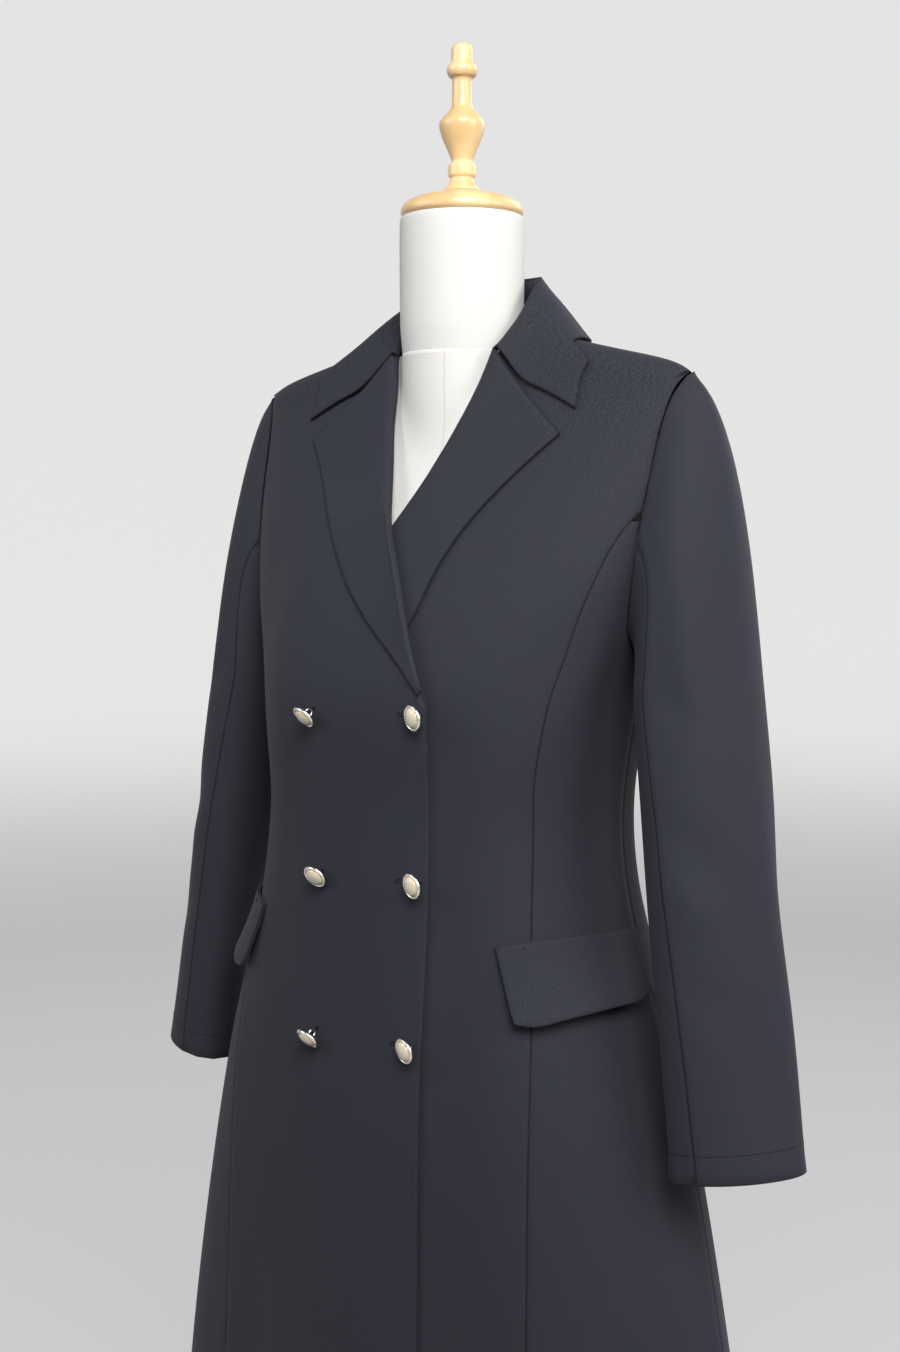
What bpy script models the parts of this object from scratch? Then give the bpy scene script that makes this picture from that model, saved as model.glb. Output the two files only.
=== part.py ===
"""A double-breasted trench coat with princess seams, on a limbless dress form.

The model is in metres and stands on the floor at the origin, +Z up. The coat faces -Y, so the
wearer's left is +X. Every cut piece of cloth is a thin wall. The body panels are laid out on one
surface, which is swept through the level sections in BODY, and are parted along the seams below.
"""
import math
from collections import namedtuple

import bpy
import bmesh
from mathutils import Matrix, Vector
from mathutils.bvhtree import BVHTree

for old in list(bpy.data.objects):
    bpy.data.objects.remove(old, do_unlink=True)

# Driving dimensions
SHOULDER_HEIGHT = 1.361
SHOULDER_HALF = 0.200
NECK_HEIGHT = 1.402
HEM_HEIGHT = 0.365
UNDERARM_HEIGHT = 1.152
WRAP_HALF = 0.064
BREAK_HEIGHT = 1.122
SIDE_SEAM_ANGLE = math.radians(97)

CLOTH = 0.0016
FACING = 0.0022
FLAP_CLOTH = 0.0028
SEAM_GAP = 0.0003
LAYER_GAP = 0.0006

LAPEL_CROWN = 0.0042
NOTCH_SHARE = 0.42
NOTCH_LEAF = 0.40
GORGE_GAP = 0.0016
FOLD_RADIUS = 0.0030
FOLD_BULGE = 0.0025
FLAP_TOP = 0.9520
FLAP_BOTTOM = 0.8930
FLAP_STAND_OFF = 0.0072
# A straight edge sits higher in the middle once it is wrapped round the flared skirt.
FLAP_BOW = 0.0055

BUTTON_RADIUS = 0.0100
SHANK_RADIUS = 0.0012
BUTTON_COLUMN = 0.049
BUTTON_ROWS = (1.1160, 0.9940, 0.8745)

NECK_RADIUS = 0.048
CAP_BOTTOM = 1.4885
POLE_RADIUS = 0.014
BASE_RADIUS = 0.175
FORM_BOTTOM = 0.800
FORM_TOP = 1.384
FORM_SLACK = 0.018
SHOULDER_REST = 0.0094
NECK_ROOT_HEIGHT = 1.300
NECK_ROOT_RADIUS = 0.0468

# The level sections of the body of the coat, from the hem to the side of the neck. Each is a
# squared ellipse: square is 2 for a true ellipse.
Section = namedtuple("Section", "height half_width centre_y front back square")
BODY = (
    Section(0.360, 0.288, -0.010, 0.147, 0.142, 2.10),
    Section(0.665, 0.239, -0.018, 0.124, 0.127, 2.20),
    Section(0.825, 0.203, -0.019, 0.121, 0.123, 2.30),
    Section(0.987, 0.154, -0.018, 0.113, 0.113, 2.35),
    Section(1.040, 0.148, -0.015, 0.115, 0.112, 2.40),
    Section(1.085, 0.152, -0.013, 0.118, 0.112, 2.45),
    Section(1.125, 0.158, -0.010, 0.120, 0.112, 2.45),
    Section(1.169, 0.171, -0.006, 0.113, 0.110, 2.40),
    Section(1.235, 0.190, -0.002, 0.089, 0.105, 2.35),
    Section(1.282, 0.198, 0.002, 0.068, 0.095, 2.35),
    Section(1.323, SHOULDER_HALF, 0.004, 0.050, 0.084, 2.30),
    Section(SHOULDER_HEIGHT, SHOULDER_HALF, 0.004, 0.032, 0.070, 2.20),
    Section(1.389, 0.104, 0.004, 0.024, 0.062, 2.10),
    Section(NECK_HEIGHT, 0.060, 0.004, 0.016, 0.055, 2.00),
)

# Where the seams cross the level sections. An edge is measured from the middle of the coat towards
# the panel's own side, so a minus sign is past the middle.
Seam = namedtuple("Seam", "height place")
ROLL_LINE = (
    Seam(BREAK_HEIGHT, -WRAP_HALF),
    Seam(1.161, -0.045),
    Seam(1.209, -0.021),
    Seam(1.245, 0.000),
    Seam(1.283, 0.018),
    Seam(1.324, 0.034),
    Seam(1.361, 0.044),
    Seam(1.383, 0.0495),
    Seam(1.391, 0.0580),
    Seam(1.402, 0.0595),
)
FRONT_PRINCESS = (
    Seam(0.360, 0.152),
    Seam(0.665, 0.146),
    Seam(0.810, 0.143),
    Seam(0.893, 0.138),
    Seam(0.967, 0.130),
    Seam(1.045, 0.127),
    Seam(1.114, 0.135),
    Seam(1.156, 0.146),
    Seam(1.206, 0.159),
    Seam(1.248, 0.174),
    Seam(1.262, 0.183),
)
BACK_PRINCESS = (
    Seam(0.360, 0.142),
    Seam(0.600, 0.124),
    Seam(0.800, 0.112),
    Seam(0.950, 0.099),
    Seam(1.040, 0.097),
    Seam(1.100, 0.106),
    Seam(1.140, 0.121),
    Seam(1.185, 0.143),
    Seam(1.225, 0.161),
    Seam(1.240, 0.169),
)

# The armhole, as the angle round the body at which it is cut in front and behind.
Armhole = namedtuple("Armhole", "height front back")
ARMHOLE = (
    Armhole(UNDERARM_HEIGHT, 97.0, 97.0),
    Armhole(1.157, 88.0, 106.0),
    Armhole(1.167, 82.0, 112.0),
    Armhole(1.188, 77.5, 117.0),
    Armhole(1.219, 72.5, 119.5),
    Armhole(1.259, 68.0, 120.0),
    Armhole(1.300, 67.5, 118.0),
    Armhole(1.331, 70.0, 113.0),
    Armhole(1.352, 76.5, 104.0),
    Armhole(SHOULDER_HEIGHT, 90.0, 90.0),
)

# The sleeve below the armhole: its middle, its wide and thin half sizes, how far the wide axis has
# turned inwards from fore and aft, and the angles round the sleeve of its two seams.
Ring = namedtuple("Ring", "height x y wide thin turn front_seam back_seam")
SLEEVE = (
    Ring(1.120, 0.2115, 0.004, 0.0600, 0.0400, 6, 100, 246),
    Ring(1.040, 0.2255, -0.006, 0.0560, 0.0385, 17, 84, 242),
    Ring(0.960, 0.2375, -0.015, 0.0525, 0.0350, 28, 68, 238),
    Ring(0.875, 0.2520, -0.022, 0.0500, 0.0320, 40, 54, 234),
    Ring(0.794, 0.2635, -0.0280, 0.0485, 0.0300, 49, 44, 230),
)
SLEEVE_UP = tuple(reversed(SLEEVE))
SLEEVE_END_AXIS = Vector((0.14, -0.08, -1.0)).normalized()
BICEP = SLEEVE[0].height

# The rows of points down a sleeve: shares of the way down its head, then levels.
CAP_ROWS = (0.0, 0.10, 0.22, 0.36, 0.52, 0.68, 0.84)
SLEEVE_LEVELS = (1.120, 1.080, 1.040, 1.000, 0.960, 0.917, 0.875, 0.835, 0.794)
SLEEVE_ROWS = CAP_ROWS + SLEEVE_LEVELS

# The outer edge of each lapel from its break to its tip. The left one runs on under the right front.
Outline = namedtuple("Outline", "along right_place right_height left_place left_height")
LAPEL_EDGE = (
    Outline(0.00, -0.0640, 1.1230, -0.0600, 1.1250),
    Outline(0.15, -0.0400, 1.1490, -0.0150, 1.1350),
    Outline(0.30, -0.0080, 1.1760, 0.0250, 1.1580),
    Outline(0.45, 0.0190, 1.2000, 0.0410, 1.1860),
    Outline(0.60, 0.0480, 1.2330, 0.0490, 1.2160),
    Outline(0.75, 0.0750, 1.2670, 0.0630, 1.2480),
    Outline(0.90, 0.1010, 1.3000, 0.0920, 1.2880),
    Outline(1.00, 0.1170, 1.3190, 0.1210, 1.3180),
)
GORGE = Vector((0.0495, 1.383))
NOTCH = Vector((0.0775, 1.354))

# Half of the collar, from the gorge round to the middle of the back: where its fold lies, and the
# angle and height at which its outer edge and its neck seam lie.
Station = namedtuple("Station", "x y fold edge_angle edge_height neck_angle neck_height stand")
Outlined = namedtuple("Outlined", ("share",) + Station._fields)
COLLAR = (
    Station(0.0500, -0.0235, 1.3842, 36.7, 1.3350, 22.0, 1.3842, 0.0),
    Station(0.0540, -0.0155, 1.3930, 36.5, 1.3560, 40.0, 1.3930, 0.0),
    Station(0.0575, -0.0065, 1.4050, 45.2, 1.3726, 60.0, 1.3990, 0.3),
    Station(0.0595, 0.0045, 1.4200, 60.0, 1.3840, 85.0, 1.4020, 1.0),
    Station(0.0575, 0.0175, 1.4330, 90.0, 1.3880, 105.0, 1.4020, 1.0),
    Station(0.0510, 0.0340, 1.4400, 122.0, 1.3880, 130.0, 1.4020, 1.0),
    Station(0.0310, 0.0510, 1.4430, 152.0, 1.3840, 155.0, 1.4020, 1.0),
    Station(0.0000, 0.0580, 1.4440, 180.0, 1.3820, 180.0, 1.4020, 1.0),
)

# The levels at which every body panel has a row of points, so that seams stay even.
LEVELS = (
    HEM_HEIGHT, 0.465, 0.565, 0.665, 0.750, 0.825, 0.893, 0.945, 0.987, 1.015, 1.040, 1.064, 1.092,
    BREAK_HEIGHT, 1.140, 1.157, 1.172, 1.188, 1.205, 1.225, 1.240, 1.254, 1.262, 1.283, 1.304, 1.324,
    1.343, 1.354, SHOULDER_HEIGHT, 1.370, 1.380, 1.391, 1.400,
)

# Where a button sits, how its head hangs, turned to the side and drooping in degrees, and how far
# the back of its head is from the cloth along its shank.
Button = namedtuple("Button", "name place row turn droop reach")
BUTTONS = (
    Button("button_left_top", BUTTON_COLUMN + 0.0115, 0, -19, 9, 0.0050),
    Button("button_left_middle", BUTTON_COLUMN + 0.0083, 1, -16, 9, 0.0045),
    Button("button_left_bottom", BUTTON_COLUMN + 0.0080, 2, -17, 10, 0.0048),
    Button("button_right_top", -BUTTON_COLUMN + 0.012, 0, -16, 40, 0.0078),
    Button("button_right_middle", -BUTTON_COLUMN + 0.0165, 1, -1, 32, 0.0058),
    Button("button_right_bottom", -BUTTON_COLUMN + 0.0165, 2, -11, 41, 0.0085),
)

# The turned wooden finial above the cap: height above the cap's lower rim, and radius.
Turning = namedtuple("Turning", "height radius")
CAP = (
    Turning(0.0000, 0.0440),
    Turning(0.0015, 0.0475),
    Turning(0.0070, 0.0470),
    Turning(0.0125, 0.0400),
    Turning(0.0168, 0.0270),
    Turning(0.0190, 0.0140),
)
FINIAL = (
    Turning(0.0193, 0.0142),
    Turning(0.0215, 0.0138),
    Turning(0.0245, 0.0104),
    Turning(0.0298, 0.0093),
    Turning(0.0310, 0.0106),
    Turning(0.0398, 0.0106),
    Turning(0.0425, 0.0083),
    Turning(0.0500, 0.0112),
    Turning(0.0588, 0.0154),
    Turning(0.0680, 0.0176),
    Turning(0.0718, 0.0176),
    Turning(0.0775, 0.0140),
    Turning(0.0843, 0.0082),
    Turning(0.1045, 0.0078),
    Turning(0.1075, 0.0108),
    Turning(0.1113, 0.0119),
    Turning(0.1150, 0.0105),
    Turning(0.1168, 0.0085),
    Turning(0.1275, 0.0085),
    Turning(0.1308, 0.0068),
)

COLUMNS = {"front": 11, "side_front": 4, "side_back": 5, "back": 8}
RIGHT, LEFT = -1, 1
SIDE_NAMES = {RIGHT: "right", LEFT: "left"}


def track(table, column, height):
    """Read a column of a table at a height, along a smooth curve that never overshoots its rows."""
    rows = [(getattr(row, table[0]._fields[0]), getattr(row, column)) for row in table]
    if height <= rows[0][0]:
        return rows[0][1]
    if height >= rows[-1][0]:
        return rows[-1][1]
    slopes = [(b[1] - a[1]) / (b[0] - a[0]) for a, b in zip(rows, rows[1:])]

    def tangent(i):
        if i == 0:
            return slopes[0]
        if i == len(rows) - 1:
            return slopes[-1]
        before, after = slopes[i - 1], slopes[i]
        return 2 * before * after / (before + after) if before * after > 0 else 0.0

    i = max(k for k in range(len(rows) - 1) if rows[k][0] <= height)
    step = rows[i + 1][0] - rows[i][0]
    t = (height - rows[i][0]) / step
    rise, fall = t * t * (3 - 2 * t), t * t * (t - 1)
    start = t * (1 - t) ** 2
    curve = step * (start * tangent(i) + fall * tangent(i + 1))
    return rows[i][1] * (1 - rise) + rows[i + 1][1] * rise + curve


def blend(low, high, value):
    """A smooth step from 0 at low to 1 at high."""
    t = min(1.0, max(0.0, (value - low) / (high - low)))
    return t * t * (3 - 2 * t)


def signed_power(value, power):
    return math.copysign(abs(value) ** power, value)


def body(angle, height):
    """The point of the body surface at an angle round it: 0 is in front, 90 degrees the left side."""
    square = 2 / track(BODY, "square", height)
    depth = track(BODY, "front" if math.cos(angle) > 0 else "back", height)
    x = track(BODY, "half_width", height) * signed_power(math.sin(angle), square)
    y = track(BODY, "centre_y", height) - depth * signed_power(math.cos(angle), square)
    return Vector((x, y, height))


def body_normal(angle, height):
    step = 0.004
    across = body(angle + step, height) - body(angle - step, height)
    up = body(angle, min(NECK_HEIGHT, height + step)) - body(angle, height - step)
    return across.cross(up).normalized()


def front_angle(place, height):
    """The angle at which the front of the body surface is a given distance from the middle."""
    share = min(1.0, abs(place) / track(BODY, "half_width", height))
    return math.copysign(math.asin(share ** (track(BODY, "square", height) / 2)), place)


def raised(angle, height, lift):
    return body(angle, height) + body_normal(angle, height) * lift


def right_lift(place, height):
    """How far the right front stands off the body surface, over the left front and its lapel."""
    over_front = CLOTH + LAYER_GAP + SEAM_GAP
    over_lapel = CLOTH + FACING + 2 * LAYER_GAP + 2 * SEAM_GAP
    lift = over_front + (over_lapel - over_front) * blend(1.060, 1.110, height)
    return lift * (1 - blend(1.235, 1.310, height)) * (1 - blend(0.070, 0.125, -place))


def finish(name, mesh_maker, colour, roughness, metallic=0.0, smooth_angle=50):
    """Put a bmesh into the scene as a named object with its own material."""
    bmesh.ops.recalc_face_normals(mesh_maker, faces=mesh_maker.faces)
    mesh = bpy.data.meshes.new(name)
    mesh_maker.to_mesh(mesh)
    mesh_maker.free()
    mesh.shade_smooth()
    mesh.set_sharp_from_angle(angle=math.radians(smooth_angle))
    material = bpy.data.materials.new(name)
    material.use_nodes = True
    shader = material.node_tree.nodes["Principled BSDF"]
    shader.inputs["Base Color"].default_value = (*colour, 1.0)
    shader.inputs["Roughness"].default_value = roughness
    shader.inputs["Metallic"].default_value = metallic
    mesh.materials.append(material)
    thing = bpy.data.objects.new(name, mesh)
    bpy.context.scene.collection.objects.link(thing)
    return thing


def part_edges(grid, gap=SEAM_GAP):
    """Draw the two side edges of a grid back by half a seam gap."""
    for row in grid:
        first = (row[1] - row[0]).normalized() * gap / 2
        last = (row[-2] - row[-1]).normalized() * gap / 2
        row[0] = row[0] + first
        row[-1] = row[-1] + last


def wall(name, outer, inner, colour, roughness=0.85):
    """Close two grids of points, the faces of a cloth wall, into one solid."""
    maker = bmesh.new()
    rows, columns = len(outer), len(outer[0])
    shell = [[[maker.verts.new(point) for point in row] for row in grid] for grid in (outer, inner)]
    for grid in shell:
        for i in range(rows - 1):
            for j in range(columns - 1):
                maker.faces.new((grid[i][j], grid[i][j + 1], grid[i + 1][j + 1], grid[i + 1][j]))
    rim = [(0, j) for j in range(columns)] + [(i, columns - 1) for i in range(1, rows)]
    rim += [(rows - 1, j) for j in range(columns - 2, -1, -1)] + [(i, 0) for i in range(rows - 2, 0, -1)]
    for a, b in zip(rim, rim[1:] + rim[:1]):
        face, back = shell
        maker.faces.new((face[a[0]][a[1]], face[b[0]][b[1]], back[b[0]][b[1]], back[a[0]][a[1]]))
    return finish(name, maker, colour, roughness)


def thick_sheet(name, grid, thickness, colour, roughness=0.85):
    """A cloth wall about a grid of points in its middle, square to the sheet at each point."""
    rows, columns = len(grid), len(grid[0])
    outer, inner = [], []
    for i in range(rows):
        outer.append([])
        inner.append([])
        for j in range(columns):
            along = grid[min(i + 1, rows - 1)][j] - grid[max(i - 1, 0)][j]
            across = grid[i][min(j + 1, columns - 1)] - grid[i][max(j - 1, 0)]
            normal = across.cross(along).normalized()
            outer[i].append(grid[i][j] + normal * thickness / 2)
            inner[i].append(grid[i][j] - normal * thickness / 2)
    return wall(name, outer, inner, colour, roughness)


COAT_COLOUR = (0.022, 0.024, 0.028)
FORM_COLOUR = (0.80, 0.79, 0.76)
WOOD_COLOUR = (0.70, 0.50, 0.27)
METAL_COLOUR = (0.60, 0.60, 0.62)
IVORY_COLOUR = (0.80, 0.68, 0.50)


def panel(name, side, levels, start, end, columns, lift=None):
    """A body panel between two seams, each a function from height to angle round the body."""
    outer, inner = [], []
    for height in levels:
        first, last = start(height), end(height)
        outer.append([])
        inner.append([])
        for j in range(columns + 1):
            angle = side * (first + (last - first) * j / columns)
            place = side * body(angle, height).x
            rise = lift(place, height) if lift else 0.0
            outer[-1].append(raised(angle, height, rise))
            inner[-1].append(raised(angle, height, rise - CLOTH))
    part_edges(outer)
    part_edges(inner)
    return wall(name, outer, inner, COAT_COLOUR)


def opening_edge(height):
    """The edge of a front: straight up to the break, then along the roll line."""
    place = -WRAP_HALF if height <= BREAK_HEIGHT else track(ROLL_LINE, "place", height)
    return front_angle(place, height)


def princess_or_armhole(height):
    if height >= SHOULDER_HEIGHT:
        return math.pi / 2
    if height > FRONT_PRINCESS[-1].height:
        return math.radians(track(ARMHOLE, "front", height))
    return front_angle(track(FRONT_PRINCESS, "place", height), height)


def side_or_armhole(height, column):
    if height > UNDERARM_HEIGHT:
        return math.radians(track(ARMHOLE, column, height))
    return SIDE_SEAM_ANGLE


def back_princess_or_armhole(height):
    if height >= SHOULDER_HEIGHT:
        return math.pi / 2
    if height > BACK_PRINCESS[-1].height:
        return math.radians(track(ARMHOLE, "back", height))
    return math.pi - front_angle(track(BACK_PRINCESS, "place", height), height)


def make_body():
    side_levels = [height for height in LEVELS if height < FRONT_PRINCESS[-1].height]
    back_levels = [height for height in LEVELS if height < BACK_PRINCESS[-1].height]
    for side, word in SIDE_NAMES.items():
        lift = (lambda place, height: right_lift(-place, height)) if side == RIGHT else None
        panel(f"{word}_front", side, LEVELS, opening_edge, princess_or_armhole, COLUMNS["front"], lift)
        panel(
            f"{word}_side_front", side, side_levels,
            lambda height: front_angle(track(FRONT_PRINCESS, "place", height), height),
            lambda height: side_or_armhole(height, "front"), COLUMNS["side_front"],
        )
        panel(
            f"{word}_side_back", side, back_levels,
            lambda height: side_or_armhole(height, "back"),
            lambda height: math.pi - front_angle(track(BACK_PRINCESS, "place", height), height),
            COLUMNS["side_back"],
        )
        panel(f"{word}_back", side, LEVELS, back_princess_or_armhole, lambda height: math.pi, COLUMNS["back"])


def armhole_point(turn):
    """The armhole at an angle round the sleeve: 0 at the top, 90 in front, 180 under the arm."""
    height = UNDERARM_HEIGHT + (SHOULDER_HEIGHT - UNDERARM_HEIGHT) * (1 + math.cos(turn)) / 2
    column = "front" if math.sin(turn) >= 0 else "back"
    return body(math.radians(track(ARMHOLE, column, height)), height)


def sleeve_point(turn, height):
    """The sleeve below its head, on the left side, at an angle round it."""
    fields = {name: track(SLEEVE_UP, name, height) for name in Ring._fields[1:]}
    slant = math.radians(fields["turn"])
    wide_axis = Vector((math.sin(slant), math.cos(slant), 0))
    lower = height - 0.02
    ahead = Vector((track(SLEEVE_UP, "x", lower), track(SLEEVE_UP, "y", lower), lower))
    middle = Vector((fields["x"], fields["y"], height))
    axis = (ahead - middle).normalized() if lower > SLEEVE_UP[0].height else SLEEVE_END_AXIS
    wide_axis = (wide_axis - axis * wide_axis.dot(axis)).normalized()
    thin_axis = wide_axis.cross(axis).normalized()
    if thin_axis.x < 0:
        thin_axis = -thin_axis
    return middle + thin_axis * fields["thin"] * math.cos(turn) - wide_axis * fields["wide"] * math.sin(turn)


def cap_point(turn, along):
    """The head of the sleeve, which leaves the armhole outwards and then falls to the upper arm."""
    start, end = armhole_point(turn), sleeve_point(turn, BICEP)
    start = start + Vector((0.0012, 0, 0))
    span = (end - start).length
    top = (1 + math.cos(turn)) / 2
    leave = Vector((0.55 + 0.30 * top, -0.30 * math.sin(turn), -0.75 + 0.35 * top)).normalized()
    pull = 1.0 - 0.5 * top
    arrive = (sleeve_point(turn, BICEP - 0.03) - end).normalized()
    t = along
    rise = t * t * (3 - 2 * t)
    return (
        start * (1 - rise) + end * rise
        + span * (leave * pull * t * (1 - t) ** 2 - arrive * t * t * (1 - t))
    )


def sleeve_grid_point(turn, row):
    along = SLEEVE_ROWS[min(max(row, 0), len(SLEEVE_ROWS) - 1)]
    return sleeve_point(turn, along) if along in SLEEVE_LEVELS else cap_point(turn, along)


def sleeve_faces(turn, row):
    """The outer and inner face of the sleeve's wall at an angle round one of its rows."""
    step = 0.05
    across = sleeve_grid_point(turn + step, row) - sleeve_grid_point(turn - step, row)
    along = sleeve_grid_point(turn, row + 1) - sleeve_grid_point(turn, row - 1)
    out = along.cross(across).normalized() * CLOTH / 2
    middle = sleeve_grid_point(turn, row)
    return middle + out, middle - out


def make_sleeves():
    """Two pieces for each sleeve, parted at its front and back seams."""
    cuts = {"upper_sleeve": (10, "back_seam", "front_seam"), "under_sleeve": (7, "front_seam", "back_seam")}
    for piece, (columns, first_seam, last_seam) in cuts.items():
        faces = ([], [])
        for i, along in enumerate(SLEEVE_ROWS):
            height = along if along in SLEEVE_LEVELS else BICEP
            first, last = (track(SLEEVE_UP, seam, height) for seam in (first_seam, last_seam))
            if first_seam == "back_seam":
                first -= 360
            turns = [math.radians(first + (last - first) * j / columns) for j in range(columns + 1)]
            pairs = [sleeve_faces(turn, i) for turn in turns]
            for face, row in zip(faces, zip(*pairs)):
                face.append(list(row))
        for grid in faces:
            part_edges(grid, 1.6 * SEAM_GAP)
        for side, word in SIDE_NAMES.items():
            placed = [[[Vector((side * p.x, p.y, p.z)) for p in row] for row in grid] for grid in faces]
            wall(f"{word}_{piece}", placed[0], placed[1], COAT_COLOUR)


def lapel_place(side, across, along):
    """A point of a flat lapel, as its distance from the middle and its height."""
    roll_height = BREAK_HEIGHT + (GORGE.y - BREAK_HEIGHT) * along
    roll = Vector((track(ROLL_LINE, "place", roll_height), roll_height))
    word = SIDE_NAMES[side]
    edge = Vector((track(LAPEL_EDGE, f"{word}_place", along), track(LAPEL_EDGE, f"{word}_height", along)))
    point = roll.lerp(edge, across)
    tip = Vector((LAPEL_EDGE[-1].right_place, LAPEL_EDGE[-1].right_height))
    if side == LEFT:
        tip = Vector((LAPEL_EDGE[-1].left_place, LAPEL_EDGE[-1].left_height))
    bend = NOTCH - GORGE.lerp(tip, NOTCH_SHARE)
    share = across / NOTCH_SHARE if across < NOTCH_SHARE else (1 - across) / (1 - NOTCH_SHARE)
    return point + bend * share * along ** 5


def make_lapels():
    """The facings, folded out over the fronts along the roll lines."""
    rows, columns = 14, 7
    for side, word in SIDE_NAMES.items():
        grid = []
        for i in range(rows + 1):
            along = 0.04 + 0.955 * i / rows
            height = BREAK_HEIGHT + (GORGE.y - BREAK_HEIGHT) * along
            crown = LAPEL_CROWN * blend(1.125, 1.20, height)
            if side == LEFT:
                crown = LAPEL_CROWN * blend(1.255, 1.30, height)
            rest = LAYER_GAP + FACING / 2
            row = []
            for back, lift in ((0.0016, -0.0008), (0.0028, 0.0008)):
                place = lapel_place(side, 0, along)
                share = blend(0.0, 0.3, along)
                row.append(lapel_point(side, place - Vector((back * share, 0)), lift * share + rest * 0.8))
            for j in range(columns + 1):
                across = (j / columns) ** 1.25
                lift = rest + crown * (1 - across) ** 2.0
                row.append(lapel_point(side, lapel_place(side, across, along), lift))
            grid.append(row)
        thick_sheet(f"{word}_lapel", grid, FACING, COAT_COLOUR)


def lapel_point(side, place, lift):
    angle = side * front_angle(place.x, place.y)
    base = right_lift(place.x * side, place.y) if side == RIGHT else 0.0
    return raised(angle, place.y, base + lift)


def body_level(point):
    """Over 1 outside the body surface and under 1 inside it."""
    height = min(point.z, NECK_HEIGHT)
    square = track(BODY, "square", height)
    y = point.y - track(BODY, "centre_y", height)
    depth = track(BODY, "front" if y < 0 else "back", height)
    return (abs(point.x) / track(BODY, "half_width", height)) ** square + (abs(y) / depth) ** square


def clear_of_body(point, gap):
    """Push a point out until it is a gap away from the body surface."""
    if point.z > NECK_HEIGHT:
        return point
    step = 0.0005
    for _ in range(12):
        level = body_level(point)
        slope = Vector([
            (body_level(point + axis) - body_level(point - axis)) / (2 * step)
            for axis in (Vector((step, 0, 0)), Vector((0, step, 0)), Vector((0, 0, step)))
        ])
        short = gap - (level - 1) / slope.length
        if short < 1e-6:
            break
        point = point + slope.normalized() * min(short, 0.002)
    return point


def notch_bend(fold, edge, along, rest):
    """The collar's front edge runs down the gorge to the notch, and only then out to the tip."""
    notch = raised(front_angle(NOTCH.x, NOTCH.y), NOTCH.y, rest)
    bend = notch - fold.lerp(edge, NOTCH_LEAF)
    bend *= max(0.0, 1 - GORGE_GAP / bend.length)
    return bend * (along / NOTCH_LEAF if along < NOTCH_LEAF else (1 - along) / (1 - NOTCH_LEAF))


def make_collar():
    """The stand rises from the neck seam, turns over at the fold and falls on the shoulders."""
    half = []
    steps = 12
    keyed = [Outlined(i / (len(COLLAR) - 1), *station) for i, station in enumerate(COLLAR)]
    for k in range(steps + 1):
        share = k / steps
        read = {name: track(keyed, name, share) for name in Station._fields}
        fold = Vector((read["x"], read["y"], read["fold"]))
        rest = LAYER_GAP + FACING / 2
        edge = raised(math.radians(read["edge_angle"]), read["edge_height"], rest + 0.0004)
        neck = body(math.radians(read["neck_angle"]), read["neck_height"])
        out = Vector((edge.x - fold.x, edge.y - fold.y, 0)).normalized()
        inner = fold - out * FOLD_RADIUS
        stand = (neck + Vector((0, 0, 0.0035)), (neck + inner) / 2, inner - Vector((0, 0, FOLD_RADIUS)))
        inward = -body_normal(math.radians(50), GORGE.y)
        turn_in = (
            fold - out * 0.0016 + inward * 0.0036,
            fold - out * 0.0030 + inward * 0.0022,
            fold - out * 0.0034 + inward * 0.0006,
        )
        row = [low.lerp(high, read["stand"]) for low, high in zip(turn_in, stand)]
        row.append(fold + Vector((0, 0, FOLD_RADIUS * 0.6)))
        rounding = (out * 0.35 + Vector((0, 0, 1))) * FOLD_BULGE
        for j in range(1, 6):
            w = j / 5
            point = fold.lerp(edge, w) + rounding * math.sin(math.pi * w)
            point += notch_bend(fold, edge, w, rest) * max(0.0, 1 - k / 2.4)
            row.append(clear_of_body(point, rest))
        half.append(row)
    grid = [[Vector((-p.x, p.y, p.z)) for p in row] for row in half]
    grid += [row for row in reversed(half[:-1])]
    thick_sheet("collar", grid, FACING, COAT_COLOUR)


def make_flaps():
    """The pocket flaps, which cross the side front panel and stand off the skirt at their lower edge."""
    rows, columns = 4, 9
    drop = FLAP_BOTTOM - FLAP_TOP
    for side, word in SIDE_NAMES.items():
        grid = []
        for i in range(rows + 1):
            down = i / rows
            row = []
            for j in range(columns + 1):
                across = j / columns
                angle = math.radians(39.8 + 2.6 * down + (55.2 - 6.4 * down) * across)
                corner = max(0.0, down - 0.75) * 4 * (max(0, 0.12 - across) + max(0, across - 0.88)) * 0.05
                straight = FLAP_BOW * 4 * across * (1 - across)
                height = FLAP_TOP + drop * down * (1 - 0.17 * across) + straight + corner
                lift = LAYER_GAP + SEAM_GAP + FLAP_CLOTH / 2 + FLAP_STAND_OFF * down ** 1.3
                row.append(raised(side * angle, height, lift))
            grid.append(row)
        thick_sheet(f"{word}_pocket_flap", grid, FLAP_CLOTH, COAT_COLOUR)


def turned(name, profile, segments, colour, roughness, metallic=0.0, matrix=None):
    """Spin a profile of (height, radius) pairs round its axis into one solid, closed at both ends."""
    maker = bmesh.new()
    rings = []
    for height, radius in profile:
        ring = []
        for k in range(segments):
            turn = 2 * math.pi * k / segments
            ring.append(maker.verts.new((radius * math.cos(turn), radius * math.sin(turn), height)))
        rings.append(ring)
    for low, high in zip(rings, rings[1:]):
        for k in range(segments):
            after = (k + 1) % segments
            maker.faces.new((low[k], low[after], high[after], high[k]))
    maker.faces.new(rings[0][::-1])
    maker.faces.new(rings[-1])
    if matrix:
        bmesh.ops.transform(maker, matrix=matrix, verts=maker.verts)
    return finish(name, maker, colour, roughness, metallic)


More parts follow.
